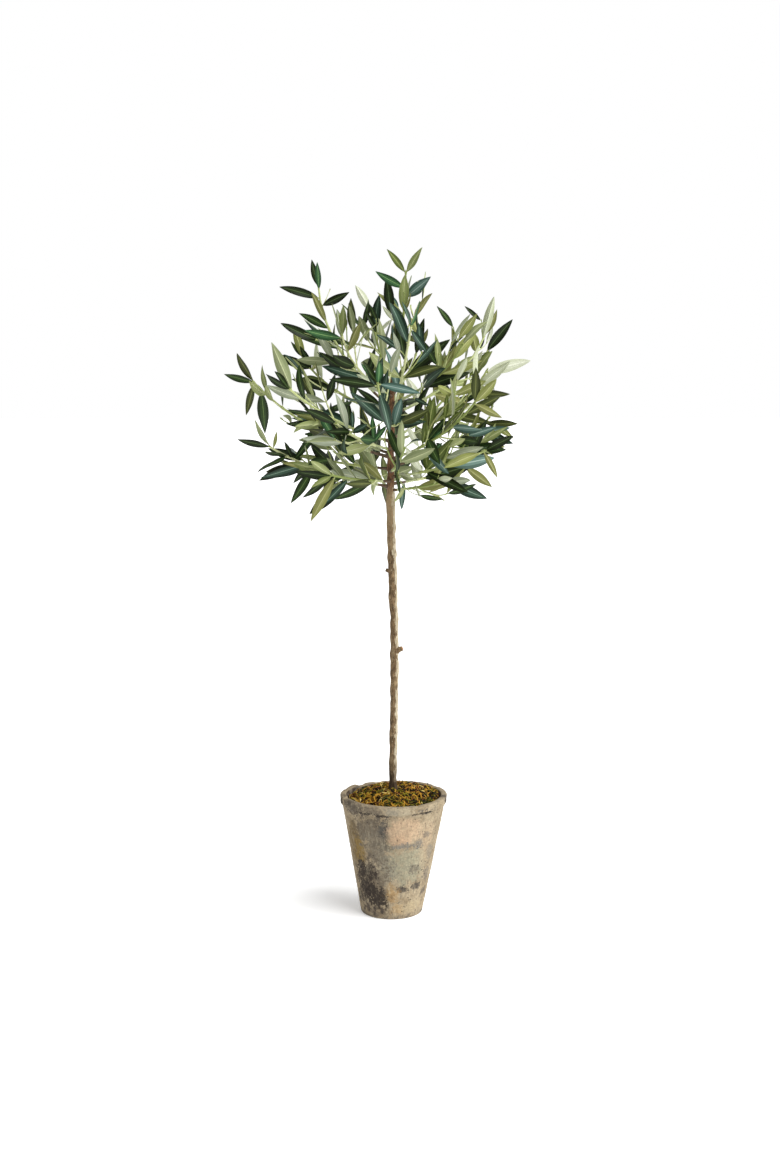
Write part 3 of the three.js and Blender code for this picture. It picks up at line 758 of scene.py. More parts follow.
def material(name, colour, roughness, specular, **sockets):
    """A plain material: a base colour, and other values set on the shader's own sockets."""
    made = bpy.data.materials.new(name)
    made.use_nodes = True
    inputs = made.node_tree.nodes["Principled BSDF"].inputs
    inputs["Base Color"].default_value = srgb(colour)
    inputs["Roughness"].default_value = roughness
    inputs["Specular IOR Level"].default_value = specular
    for socket, value in sockets.items():
        inputs[socket.replace("_", " ").title()].default_value = value
    return made


def srgb(text):
    """A colour such as 8c8f55, as linear light."""
    parts = [int(text[i:i + 2], 16) / 255 for i in (0, 2, 4)]
    light = [c / 12.92 if c <= 0.04045 else ((c + 0.055) / 1.055) ** 2.4 for c in parts]
    return (*light, 1.0)


# How far out a blotch fades: from nothing to its full cover, in shares of its size.
BLOTCH_EDGE = (1.15, 0.75)


class Painter:
    """Builds a material's pattern from nodes that are placed in the object's own space."""

    def __init__(self, made):
        self.tree = made.node_tree
        self.shader = self.tree.nodes["Principled BSDF"]
        self.place = self.tree.nodes.new("ShaderNodeTexCoord").outputs["Object"]

    def feed(self, socket, value):
        """Links a pattern to a socket, or sets a plain value or a tint on it."""
        if isinstance(value, bpy.types.NodeSocket):
            self.tree.links.new(value, socket)
        else:
            socket.default_value = srgb(value) if isinstance(value, str) else value

    def node(self, kind, inputs=(), **settings):
        made = self.tree.nodes.new("ShaderNode" + kind)
        for setting, value in settings.items():
            setattr(made, setting, value)
        for socket, value in dict(inputs).items():
            self.feed(made.inputs[socket], value)
        return made

    def height(self):
        return self.node("SeparateXYZ", {"Vector": self.place}).outputs["Z"]

    def stretched(self, scale, shift=(0, 0, 0)):
        """The place in the object, in units that make a pattern's lumps 1/scale of a metre."""
        inputs = {"Vector": self.place, "Scale": scale, "Location": shift}
        return self.node("Mapping", inputs).outputs["Vector"]

    def noise(self, scale, detail, rough, shift=(0, 0, 0)):
        """A cloudy pattern with a scale for all ways, or one for each axis."""
        stretch, scale = (scale, 1.0) if isinstance(scale, tuple) else ((1, 1, 1), scale)
        vector = self.stretched(stretch, shift)
        inputs = {"Vector": vector, "Scale": scale, "Detail": detail, "Roughness": rough}
        return self.node("TexNoise", inputs).outputs["Fac"]

    def between(self, value, low, high, out_low=0.0, out_high=1.0):
        names = ("Value", "From Min", "From Max", "To Min", "To Max")
        inputs = dict(zip(names, (value, low, high, out_low, out_high)))
        made = self.node("MapRange", inputs, interpolation_type="SMOOTHSTEP")
        return made.outputs["Result"]

    def maths(self, operation, a, b):
        return self.node("Math", {0: a, 1: b}, operation=operation).outputs["Value"]

    def times(self, a, b):
        return self.maths("MULTIPLY", a, b)

    def mixed(self, share, a, b):
        made = self.node("Mix", data_type="RGBA")
        values = {"Factor_Float": share, "A_Color": a, "B_Color": b}
        for socket in made.inputs:
            if socket.identifier in values:
                self.feed(socket, values[socket.identifier])
        return next(socket for socket in made.outputs if socket.identifier == "Result_Color")

    def layers(self, colour, *rows):
        """Lays tints over a colour. Each row is a pattern, its range, a strength and the tint."""
        for pattern, low, high, strength, tint in rows:
            colour = self.mixed(self.between(pattern, low, high, 0, strength), colour, tint)
        return colour

    def blotch(self, centre, size, ragged, noise_at):
        """1 inside a ragged ellipsoid at a place, falling to 0 outside it. Millimetres."""
        scale = [1 / (s * MM) for s in size]
        shift = [-c * MM * k for c, k in zip(centre, scale)]
        vector = self.stretched(scale, shift)
        far = self.node("VectorMath", {0: vector}, operation="LENGTH").outputs["Value"]
        return self.between(self.maths("ADD", far, self.times(noise_at, ragged)), *BLOTCH_EDGE)

    def colour(self, value):
        self.feed(self.shader.inputs["Base Color"], value)

    def bump(self, height, distance, strength=1.0):
        inputs = {"Height": height, "Distance": distance * MM, "Strength": strength}
        made = self.node("Bump", inputs)
        self.feed(self.shader.inputs["Normal"], made.outputs["Normal"])


def clouded(name, look, cloud, first, rows, grain, relief):
    """A material whose tints follow one noise, each with its range, and whose relief another."""
    made = material(name, *look)
    paint = Painter(made)
    pattern = paint.noise(*cloud)
    paint.colour(paint.layers(first, *[(pattern, low, high, 1.0, tint) for low, high, tint in rows]))
    paint.bump(paint.noise(*grain), *relief)
    return made


# The pot

def pot_middle(height):
    return POT.rim_x * height / POT.height


def pot_body_radius(height):
    return lerp(POT.foot, POT.rim - POT.step, height / (POT.height - POT.band))


def pot_inner_radius(height):
    return lerp(POT.foot - POT.wall, POT.rim - POT.wall, height / POT.height)


def arc(centre, radius, start, end, steps):
    """Points of a quarter round in a profile of radius and height."""
    angles = np.radians(np.linspace(start, end, steps + 1))
    return [(centre[0] + radius * math.cos(a), centre[1] + radius * math.sin(a)) for a in angles]


def filled_in(profile, step):
    """A profile with points no further apart than a step."""
    made = [profile[0]]
    for (r0, z0), (r1, z1) in zip(profile, profile[1:]):
        count = max(1, math.ceil(math.hypot(r1 - r0, z1 - z0) / step))
        made += [(lerp(r0, r1, i / count), lerp(z0, z1, i / count)) for i in range(1, count + 1)]
    return np.array(made)


def pot_profile():
    """The pot's section from the middle of its underside, up outside, over the rim and down inside."""
    height, lip, rim = POT.height, POT.lip, POT.rim
    band = height - POT.band
    rounding = POT.foot_round
    inner = rim - POT.wall
    outside = [
        (0.5, 0.0),
        *arc((pot_body_radius(rounding) - rounding, rounding), rounding, -90, 0, 8),
        (pot_body_radius(band) - 0.2, band - 0.6),
        (pot_body_radius(band) + 0.3, band + 0.2),
        (rim - POT.draft - 0.7, band + POT.ledge),
        (rim - POT.draft, band + POT.ledge + 1.0),
        *arc((rim - lip, height - lip), lip, 0, 90, 5),
        *arc((inner + lip, height - lip), lip, 90, 180, 5),
        (pot_inner_radius(POT.floor), POT.floor),
        (0.5, POT.floor),
    ]
    return filled_in(outside, 1.3)


# The clay's relief: scale and start of the noise for its dents, grain and pores, how deep each goes,
# the marks of turning, and how much of all that there is inside. Then how far the rim is warped, and
# how far from the top it is warped and worn.
CLAY = Values(
    dents=(0.045, 3.1), grain=(0.33, 7.7), pores=(0.62, 1.9), dent=0.4, grained=0.15, pored=0.4,
    turning=0.12, turns=1.15, wobble=2.2, inside=-0.6,
    warp=0.5, warp_from=12, warp_start=0.8, worn_from=7, worn_to=0.5,
)
# Chips in the pot's rim, each with its azimuth, half its width and its depth, and one lump.
CHIPS = (
    (131, 8, 1.7), (108, 6, 0.9), (158, 5, 0.8), (-62, 4, 0.8), (-160, 7, 0.9), (35, 9, 0.8),
)
LUMP = Values(azimuth=143, height=0.8, flat=2, half=9)
POT_SIDES = 288


def chipped(radius, height, azimuth):
    """How far the rim's edge is worn or chipped down at each point."""
    near_top = smooth(POT.height - CLAY.worn_from, POT.height - CLAY.worn_to, height)
    drop = np.zeros_like(radius)
    for centre, half, depth in CHIPS:
        drop += depth * (1 - smooth(half * 0.35, half, np.abs(off_by(azimuth, centre))))
    off = np.abs(off_by(azimuth, LUMP.azimuth))
    return near_top * (drop - LUMP.height * (1 - smooth(LUMP.flat, LUMP.half, off)))


def pot_relief(radius, height, angle, outward):
    """How far the clay's surface stands out: dents, grain, pores and the marks of turning."""
    flat = np.stack([radius * np.cos(angle), radius * np.sin(angle), height], -1)
    dents, grain, pores = (field(flat, *kind) for kind in (CLAY.dents, CLAY.grain, CLAY.pores))
    turning = CLAY.turning * np.sin(height * CLAY.turns + CLAY.wobble * dents)
    relief = CLAY.dent * dents + CLAY.grained * grain + turning
    relief = relief - CLAY.pored * smooth(0.45, 0.62, pores)
    raised = smooth(1, 8, height) * smooth(0.9, 1.1, radius / (POT.foot * 0.8))
    return raised * relief * np.where(outward < 0, CLAY.inside, 1.0)


def make_pot():
    """The aged clay pot: hand turned, out of round, pitted, and chipped at its rim."""
    profile = pot_profile()
    angle = ring_angles(POT_SIDES)
    radius, height = (np.repeat(part[:, None], POT_SIDES, 1) for part in profile.T)
    radius += pot_relief(radius, height, angle, np.gradient(profile[:, 1])[:, None])
    height -= chipped(radius, height, np.degrees(angle)[None, :])
    near_top = smooth(POT.height - CLAY.warp_from, POT.height, height)
    height += near_top * CLAY.warp * np.sin(2 * angle + CLAY.warp_start)
    x = radius * np.cos(angle) + pot_middle(height)
    points = np.stack([x, radius * np.sin(angle), height], -1).reshape(-1, 3)
    ends = [[0, 0, 0], [pot_middle(POT.floor), 0, POT.floor]]
    top = int(np.argmax(profile[:, 1]))
    # The inner wall takes its own darker material: painted shade inside the pot.
    within = profile[:-1, 0] < POT.rim - POT.wall + 0.6
    within[:top] = False
    pile = Pile()
    pile.add_shell(np.concatenate([points, ends]), POT_SIDES, np.repeat(within, POT_SIDES), 0)
    piece = pile.piece("pot_body", [clay_material(), inside_material()], sharp=70)
    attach(piece, "root")
    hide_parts("pot")


def on_pot(x, height, facing):
    """A point of the pot's outside at its front, or of its back where the facing is -1."""
    depth = math.sqrt(max(0.0, pot_body_radius(height) ** 2 - x ** 2))
    return (facing * x + pot_middle(height), -facing * depth, height)


# The least depth of a stain in millimetres, and how much the noise moves a stain's edge.
STAIN_DEPTH = 8.0
RAGGED = 5.0
# Stains of the front, each with the x and height of its middle, its half sizes, its colour, and how
# strong and how ragged it is. The back has its own.
STAINS = (
    (-43, 88, 15, 36, "7a6744", 0.85, 0.6), (-38, 82, 10, 24, "94793f", 0.75, 0.8),
    (-24, 108, 25, 20, "6b6255", 0.9, 0.8), (-20, 92, 17, 20, "7f7666", 0.8, 0.9),
    (-11, 112, 6, 11, "57544f", 0.8, 1.1), (-8, 92, 9, 6, "6c6659", 0.75, 1.3),
    (14, 109, 21, 17, "cdb090", 0.85, 0.5), (6, 98, 12, 7, "c9a888", 0.6, 0.8),
    (38, 100, 12, 22, "bda688", 0.7, 0.6), (14, 66, 27, 23, "a09c84", 0.85, 0.6),
    (-9, 58, 14, 20, "948f7d", 0.7, 0.9), (-15, 74, 15, 11, "837b6b", 0.65, 1.0),
    (14, 91, 14, 3.5, "7b7972", 0.8, 1.3), (29, 94, 7, 4, "7d7971", 0.75, 1.3),
    (38, 102, 4, 4, "776d62", 0.85, 0.8), (42, 79, 6, 10, "8a8274", 0.7, 1.0),
    (-24, 40, 24, 36, "6b5f51", 0.8, 0.9), (-36, 63, 8, 9, "3a322c", 1.0, 1.0),
    (-28, 56, 11, 10, "3d352f", 1.0, 1.1), (-31, 43, 14, 14, "413830", 1.0, 1.0),
    (-25, 31, 17, 13, "3a322c", 1.0, 1.0), (-16, 25, 15, 10, "3d352e", 1.0, 1.1),
    (-35, 24, 9, 12, "483f37", 0.9, 1.0), (-26.6, 11, 1.9, 7, "4b423c", 0.9, 0.6),
    (-19.7, 10, 1.8, 7, "4b423c", 0.9, 0.6), (-11.5, 11, 2.0, 6, "4b423c", 0.85, 0.6),
    (12, 37, 7, 3.5, "504a44", 0.9, 1.4), (27, 40, 8, 4, "4d4741", 0.92, 1.4),
    (35, 30, 4, 6, "5d554d", 0.85, 1.3), (25, 62, 8, 5, "635c53", 0.7, 1.5),
    (39, 52, 4, 12, "6f675d", 0.75, 1.1), (1, 29, 8, 9, "b09063", 0.75, 0.8),
    (-2, 40, 5, 7, "b79a6f", 0.6, 0.9), (7, 13, 8, 8, "b6996e", 0.7, 0.8),
    (22, 14, 13, 9, "b9a887", 0.75, 0.8), (35, 72, 6, 10, "b2a184", 0.6, 0.8),
    (-46, 133, 18, 9, "544c44", 0.9, 0.8), (-24, 134, 14, 6, "6f6558", 0.8, 1.1),
    # The first stain here darkens the rim's left end: partly stain, partly painted shade at its
    # outline.
    (-60, 137, 9, 7, "3b342e", 1.0, 0.8), (-50, 139, 9, 2.5, "4a423a", 0.9, 1.2),
    (-29, 130, 9, 1.6, "322b26", 1.0, 1.3), (-11, 129, 10, 1.5, "342d28", 1.0, 1.3),
    (-40, 130, 6, 1.4, "3a322c", 0.9, 1.3), (24, 130, 6, 1.4, "3c3530", 1.0, 1.5),
    (36, 130.5, 9, 1.6, "36302b", 1.0, 1.5), (31, 134, 6, 1.5, "57504a", 0.9, 1.6),
    (46, 133, 5, 1.6, "4c4540", 0.9, 1.5), (8, 134, 18, 5, "bdb095", 0.8, 0.9),
    (-3, 133, 8, 4, "8f8878", 0.7, 1.2), (48, 136, 10, 5, "b0a183", 0.7, 0.9),
    # The rim's right end: partly stain, partly painted shade at its outline.
    (60, 138, 8, 5, "423b35", 1.0, 0.9),
)
BACK_STAINS = (
    (25, 100, 22, 22, "77736f", 0.85, 0.9), (-20, 108, 20, 16, "c8ab8b", 0.7, 0.7),
    (-28, 60, 16, 22, "a88c4e", 0.7, 0.8), (4, 58, 20, 18, "a19f88", 0.8, 0.8),
    (20, 28, 14, 16, "4b4543", 0.95, 1.1), (-14, 22, 12, 9, "7f776a", 0.8, 1.0),
    (0, 128.5, 18, 1.8, "37312f", 0.95, 1.6), (-36, 92, 8, 16, "807a73", 0.8, 0.9),
)


def stained(paint, colour):
    """The stains over a colour, with ragged edges and worn thin here and there."""
    ragged = paint.maths("SUBTRACT", paint.noise(130, 10, 0.8, (0.3, 0.1, 0.2)), 0.5)
    crumbly = paint.maths("SUBTRACT", paint.noise(460, 3, 0.6, (0.1, 0.6, 0.4)), 0.5)
    ragged = paint.maths("ADD", ragged, paint.times(crumbly, 0.3))
    thin = paint.between(paint.noise(210, 5, 0.7, (0.7, 0.2, 0.9)), 0.36, 0.52, 0.55, 1.0)
    for stains, facing in ((STAINS, 1), (BACK_STAINS, -1)):
        for x, height, half_x, half_z, tint, strength, rough in stains:
            size = (half_x, max(STAIN_DEPTH, half_x), half_z)
            mask = paint.blotch(on_pot(x, height, facing), size, rough * RAGGED, ragged)
            colour = paint.mixed(paint.times(mask, paint.times(thin, strength)), colour, tint)
    return colour


def pitted(paint):
    """Small round pits, in some places only."""
    cells = paint.node("TexVoronoi", {"Vector": paint.stretched((1, 1, 1)), "Scale": 260.0})
    places = paint.between(paint.noise(70, 5, 0.7, (5, 0, 1)), 0.5, 0.6)
    return paint.times(paint.between(cells.outputs["Distance"], 0.3, 0.12), places)


def clay_material():
    """Limewashed clay: tan under grey, ochre and charcoal stains, with brush streaks, pits and grit."""
    made = material("aged_clay", "b39c7d", 0.92, 0.2)
    paint = Painter(made)
    height = paint.height()
    fine = paint.noise(420, 4, 0.6)
    streak = paint.noise((520, 520, 40), 6, 0.7)
    wiped = paint.noise((130, 130, 40), 7, 0.75, (2, 7, 1))
    patchy = paint.between(paint.noise(110, 6, 0.7, (1, 2, 3)), 0.4, 0.62)
    colour = paint.layers("9a896e", (paint.noise(60, 8, 0.7), 0.4, 0.6, 1.0, "b0a084"))
    colour = paint.layers(
        stained(paint, colour),
        (wiped, 0.54, 0.68, 0.34, "756c60"),
        (wiped, 0.46, 0.33, 0.4, "c2b599"),
        (streak, 0.55, 0.68, 0.55, "625a50"),
        (streak, 0.44, 0.32, 0.42, "c9bb9e"),
    )
    rim = paint.times(paint.between(height, 0.1372, 0.1392), paint.between(patchy, 0, 1, 0.2, 0.7))
    # The bottom centimetre is darker, in patches.
    foot = paint.times(paint.between(height, 0.01, 0.001), patchy)
    pits = pitted(paint)
    for share, tint in ((rim, "93856f"), (foot, "6b6358"), (paint.times(pits, 0.85), "3f3731")):
        colour = paint.mixed(share, colour, tint)
    speckle = paint.between(fine, 0.3, 0.7, 0.64, 0.9)
    toned = paint.node("VectorMath", {0: colour, "Scale": speckle}, operation="SCALE")
    paint.colour(toned.outputs["Vector"])
    grit = paint.maths("ADD", paint.times(fine, 0.6), paint.noise(900, 3, 0.6))
    paint.bump(paint.maths("SUBTRACT", grit, paint.times(pits, 1.6)), 0.3, 0.6)
    return made


def inside_material():
    """The pot's inner wall: brown, and painted darker as the shade inside the pot."""
    rows = ((0.38, 0.62, "7a7062"),)
    look = ("5d4a38", 0.95, 0.15)
    return clouded("clay_inside", look, (140, 6, 0.7), "453a31", rows, (700, 4, 0.7), (0.4, 0.7))


def make_filling():
    """The block under the moss keeps its frame shape and gets a dull crumbly finish."""
    crumbs = (400, 5, 0.7)
    rows = ((0.35, 0.65, "5d4a35"),)
    look = ("4a3b2a", 1.0, 0.1)
    made = clouded("filling_crumb", look, crumbs, "2e241a", rows, crumbs, (1.0,))
    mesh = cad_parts["pot_filling"].data
    mesh.materials.clear()
    mesh.materials.append(made)
    mesh.polygons.foreach_set("material_index", [0] * len(mesh.polygons))


# The moss

def moss_reach(gap):
    """How far out the mound goes with a gap to the pot's wall."""
    return pot_inner_radius(MOSS.edge) - gap


def moss_height(x, y):
    """The mound's top over the frame's filling, at a place measured from its middle."""
    edge = moss_reach(MOSS.rim_gap)
    radius = np.hypot(x, y)
    share = np.clip((edge - radius) / (edge - MOSS.seat_radius), 0, 1)
    height = lerp(MOSS.edge, MOSS.seat, np.sin(share * math.pi / 2))
    lump = np.sin(x * 0.31 + 1.3) * np.cos(y * 0.27) + 0.6 * np.sin(x * 0.17 - y * 0.23)
    pile = math.radians(MOSS.pile)
    tilt = (x * math.cos(pile) + y * math.sin(pile)) / edge
    shaped = height + MOSS.lump * lump + MOSS.tilt * tilt
    return np.where(radius < MOSS.seat_radius, MOSS.seat, shaped)


def on_mound(line):
    """A line moved from the mound's own middle to where the mound is."""
    line[:, 0] += pot_middle(MOSS.edge)
    return line


def bed_material():
    """Dark tangled moss with warmer tufts, its near black partly painted shade among the strands."""
    rows = ((0.38, 0.56, "33240d"), (0.56, 0.7, "5f4515"))
    look = ("3a2f16", 1.0, 0.1)
    return clouded("moss_bed", look, (170, 6, 0.7), "171007", rows, (800, 4, 0.7), (0.8,))


def make_moss_bed():
    """The dark tangled mound that the loose fibres lie on."""
    radius = np.linspace(moss_reach(MOSS.bed_gap), 0.6, MOSS.rings)[:, None]
    angle = ring_angles(MOSS.sides)
    x, y = radius * np.cos(angle), radius * np.sin(angle)
    bed = np.stack([x, y, np.zeros_like(x)], -1)
    tangle = field(bed, *MOSS.coarse) + MOSS.fine_share * field(bed, *MOSS.fine)
    bed[..., 2] = moss_height(x, y) - MOSS.bed_down + MOSS.tangle * tangle
    low = FILLING_TOP + MOSS.skirt
    skirt = bed[0].copy()
    skirt[:, 2] = low
    points = np.concatenate([skirt, bed.reshape(-1, 3), [[0, 0, low], [0, 0, MOSS.seat - 1]]])
    pile = Pile()
    pile.add_shell(on_mound(points), MOSS.sides, 0, 0)
    piece = pile.piece("moss_bed", [bed_material()], sharp=80)
    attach(piece, "root")
    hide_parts("moss")


# Strand colours with their weights: warm tufts and green ones.
WARM_MOSS = dict(golden=9, straw=2, rust=2, brown=5, dark_brown=7, yellow_green=3)
GREEN_MOSS = dict(yellow_green=5, green=4, dark_green=4, golden=5, dark_brown=6)
MOSS_TINTS = {
    "golden": "b0842b", "straw": "d9bd6e", "yellow_green": "80761f", "green": "53551d",
    "dark_green": "2a2a10", "brown": "6b461e", "dark_brown": "22160b", "rust": "8f5a2a",
}
# The strands: their number, sizes and curl, how high they arch, and the tufts that they stand in.
FIBRE = Values(
    count=2100, gap=-0.3, sides=3, steps=9, radius=(0.4, 0.8), length=(7, 19), curl=0.62,
    lift=(0.3, 3.6), down=0.3, loose=0.06, loose_lift=1.9, jitter=0.3, bend=0.35, clump=3.0,
    mix=0.4, green_to=-0.12, rim_gap=0.9, root_gap=1.0, taper=(0.35, math.pi - 0.25),
)


def moss_noise(x, y, level, scale):
    return noise.noise(Vector((x, y, level)) * scale)


def fibre_line(roller, x, y, length):
    """A curling strand that starts on the mound, arches over it and comes down to it again."""
    steps = FIBRE.steps
    heading = 2 * math.pi * roller.roll()
    curl = roller.spread(FIBRE.curl)
    clump = FIBRE.clump * moss_noise(x, y, 5, 0.15)
    lift = roller.between(*FIBRE.lift)
    if roller.roll() < FIBRE.loose:
        lift *= FIBRE.loose_lift
    edge = moss_reach(FIBRE.rim_gap)
    points = []
    for share in np.arange(steps + 1) / steps:
        ease = max(1.0, math.hypot(x, y) / edge)
        x, y = x / ease, y / ease
        arch = lift * math.sin(math.pi * share) + clump + roller.spread(FIBRE.jitter) - FIBRE.down
        points.append((x, y, float(moss_height(x, y)) + arch))
        heading += curl + roller.spread(FIBRE.bend)
        x += math.cos(heading) * length / steps
        y += math.sin(heading) * length / steps
    return on_mound(np.array(points))


def add_fibres(pile, names, roller):
    """Strands all over the mound but for some gaps, in warm and in green tufts."""
    edge = moss_reach(FIBRE.root_gap)
    for _ in range(FIBRE.count):
        radius = edge * math.sqrt(roller.roll())
        x, y, _ = outwards(360 * roller.roll()) * radius
        if radius < trunk_radius(TRUNK.foot) - 1:
            continue
        length = roller.between(*FIBRE.length)
        # Gaps without strands let the near-black bed show: partly painted shade between the tufts.
        if moss_noise(x, y, 30, 0.19) < FIBRE.gap:
            continue
        line = fibre_line(roller, x, y, length)
        thick = roller.between(*FIBRE.radius)
        radii = thick * np.sin(np.linspace(*FIBRE.taper, len(line)))
        tuft = moss_noise(x, y, 0, 0.11) + roller.spread(FIBRE.mix)
        tint = roller.pick(WARM_MOSS if tuft > FIBRE.green_to else GREEN_MOSS)
        add_tube(pile, line, radii, FIBRE.sides, names.index(tint))


# Single strands that stand up past the rim: azimuth, distance out, rise and length.
WISPS = (
    (78, 42, 9, 14), (84, 40, 6, 11), (20, 44, 5, 12), (28, 45, 7, 10), (12, 48, 6, 9),
    (100, 44, 5, 10), (150, 46, 5, 12), (200, 47, 5, 10), (250, 46, 5, 11), (300, 45, 6, 10),
    (335, 47, 5, 12),
)
WISP = Values(steps=12, sides=5, radii=(0.35, 0.2), turn=50, run=0.6, bow=2.6)


def wisp_line(azimuth, out, rise, length):
    """A strand that leaves the mound, rises and curls over."""
    start = outwards(azimuth) * out
    heading = outwards(azimuth + WISP.turn)
    base = float(moss_height(start[0], start[1])) - 1
    shares = np.linspace(0, 1, WISP.steps)[:, None]
    line = start + UP * base + heading * length * WISP.run * shares
    return on_mound(line + UP * rise * np.sin(shares * WISP.bow))


def make_moss_fibres():
    """Thousands of loose strands, dealt out by colour in tufts, and some that stand up."""
    names = list(MOSS_TINTS)
    pile = Pile()
    add_fibres(pile, names, Roller(SEED.looks))
    radii = np.linspace(*WISP.radii, WISP.steps)
    for wisp in WISPS:
        add_tube(pile, wisp_line(*wisp), radii, WISP.sides, names.index("dark_green"))
    tints = [material("moss_" + name, tint, 0.85, 0.2) for name, tint in MOSS_TINTS.items()]
    piece = pile.piece("moss_fibres", tints, sharp=180)
    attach(piece, "root")
    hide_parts("moss")


# The wood

# Swellings of the bark, each with its height, azimuth and rise, and half sizes up and around.
KNOTS = (
    (176, 175, 0.9), (228, 10, 0.8), (262, -170, 0.8), (305, 165, 0.9), (345, -5, 0.7),
    (372, -150, 0.9), (416, 170, 1.3), (421, 5, 1.0), (452, -20, 0.8), (480, 180, 0.8),
)
KNOT_SIZE = (5.0, 55.0)
# How many rings of corners the trunk has, and how many corners each.
TRUNK_MESH = (560, 56)
# How much thicker the stub of a twig is than its neck, from inside the trunk to its sawn face.
STUB_SWELL = np.array([1.7, 1.6, 1.5, 1.3, 1.12, 1.05, 1.02, 1.0, 0.9])
STUB_SIDES = 18
# The side of the trunk toward the lights, where the bark is painted pale as painted light, how
# ragged its edge is, and where it ends.
PAINTED_LIGHT_SIDE = Values(azimuth=-14.0, over=0.56, ragged=0.5, top=496.0, bottom=154.0)
# The bark's relief. Each noise has its radius, its share of the rise, its scale and its start. Then
# follow how much there is of each, and the ridges of the foot.
BARK = Values(
    strings=(9, 0.11, 0.55, 2.0), warts=(4, 0.8, 0.16, 5.0), cracks=(16, 0.3, 0.4, 8.0),
    string=0.3, wart=0.75, crack=0.3, root=0.5, roots=5, root_top=14,
)


def round_field(angle, heights, radius, rise, scale, offset):
    """Smooth noise around a shaft of one radius, drawn out along it."""
    place = (np.cos(angle) * radius, np.sin(angle) * radius, heights * rise)
    return field(np.stack(np.broadcast_arrays(*place), -1), scale, offset)


def bark_relief(angle, heights, strings, warts):
    """How far the bark stands out: strings, warts, cracks, knots, and ridges at its foot."""
    cracks = smooth(0.25, 0.6, round_field(angle, heights, *BARK.cracks))
    relief = BARK.string * strings + BARK.wart * warts - BARK.crack * cracks
    for height, azimuth, swell in KNOTS:
        along = (heights - height) / KNOT_SIZE[0]
        around = off_by(np.degrees(angle), azimuth) / KNOT_SIZE[1]
        relief = relief + swell * np.exp(-(along ** 2) - around ** 2)
    foot = 1 - smooth(TRUNK.foot, TRUNK.foot + BARK.root_top, heights)
    return relief + BARK.root * np.sin(angle * BARK.roots + 0.6) * foot


def add_stub(pile, height, azimuth, length, thick):
    """The stub of a cut twig: a collar, a short neck and a pale sawn face."""
    root = trunk_centre(height - 3)
    tip = trunk_centre(height) + outwards(azimuth) * (trunk_radius(height) + length)
    line = [lerp(root, tip, share) for share in np.linspace(0.2, 1, len(STUB_SWELL))]
    add_tube(pile, line, thick * STUB_SWELL, STUB_SIDES, 0, np.repeat([0, 1], STUB_SIDES))


def bark_painter(made):
    """A painter with the two patterns that both kinds of bark have: strings and flecks."""
    paint = Painter(made)
    strings = paint.noise((600, 600, 130), 7, 0.7)
    return paint, strings, paint.noise((330, 330, 260), 5, 0.7, (1, 4, 2))


def painted_light_bark_material():
    """Painted light: pale bark for the side toward the lights, with fine brown flecks."""
    made = material("bark_painted_light", "b4a88e", 0.85, 0.25)
    paint, strings, flecks = bark_painter(made)
    paint.colour(paint.layers(
        "908269",
        (strings, 0.38, 0.62, 1.0, "b9ae95"),
        (flecks, 0.45, 0.34, 0.8, "6b5a43"),
        # Painted shade: darker towards the foot, just above the moss.
        (paint.height(), 0.19, 0.152, 0.8, "4a3a29"),
    ))
    paint.bump(strings, 0.7, 0.8)
    return made


def bark_material():
    """Young bark: brown and grey, darker in its cracks, with pale flecks, and redder in the crown."""
    made = material("trunk_bark", "7c674c", 0.85, 0.25)
    paint, strings, flecks = bark_painter(made)
    patches = paint.noise((120, 120, 55), 5, 0.65, (3, 1, 2))
    height = paint.height()
    colour = paint.layers(
        "4b3b27",
        (strings, 0.38, 0.62, 1.0, "846c4e"),
        (patches, 0.5, 0.64, 0.5, "a08c6a"),
        (patches, 0.48, 0.36, 0.7, "57452f"),
        (flecks, 0.56, 0.68, 0.6, "b8a684"),
        (flecks, 0.44, 0.33, 0.8, "37291b"),
        (height, 0.43, 0.462, 0.5, "a08a68"),
    )
    red = paint.layers("38221a", (strings, 0.38, 0.62, 1.0, "82573b"))
    colour = paint.mixed(paint.times(paint.between(height, 0.484, 0.506), 0.85), colour, red)
    # Painted shade: the foot, just above the moss, is painted dark.
    paint.colour(paint.layers(colour, (height, 0.19, 0.15, 0.85, "2f2318")))
    paint.bump(paint.maths("ADD", strings, paint.times(flecks, 0.7)), 0.8, 0.9)
    return made


def make_trunk():
    """The trunk with its bark: stringy ridges, knuckles, painted shade at the foot, and the cut stubs.
    """
    rings, sides = TRUNK_MESH
    angle = ring_angles(sides)
    heights = np.linspace(TRUNK.foot, TRUNK.tip, rings)
    centres = np.array([trunk_centre(height) for height in heights])
    radii = np.array([trunk_radius(height) for height in heights])[:, None]
    heights = heights[:, None]
    strings = round_field(angle, heights, *BARK.strings)
    warts = round_field(angle, heights, *BARK.warts)
    radius = radii + bark_relief(angle, heights, strings, warts)
    ring = np.stack([radius * np.cos(angle), radius * np.sin(angle), np.zeros_like(radius)], -1)
    points = (centres[:, None] + ring).reshape(-1, 3)
    # Painted light: the bark on the side toward the lights is painted pale.
    pale = np.cos(angle - math.radians(PAINTED_LIGHT_SIDE.azimuth))
    pale = pale + PAINTED_LIGHT_SIDE.ragged * warts + BARK.string * strings > PAINTED_LIGHT_SIDE.over
    pale = pale & (heights < PAINTED_LIGHT_SIDE.top) & (heights > PAINTED_LIGHT_SIDE.bottom)
    points = np.concatenate([points, centres[:1], centres[-1:]])
    pile = Pile()
    pile.add_shell(points, sides, np.where(pale[:-1].ravel(), 2, 0), 0)
    for stub in STUBS:
        add_stub(pile, *stub)
    cut = material("cut_wood", "8f6440", 0.8, 0.2)
    piece = pile.piece("trunk_bark", [bark_material(), cut, painted_light_bark_material()], sharp=60)
    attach(piece, "root")
    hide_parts("trunk")


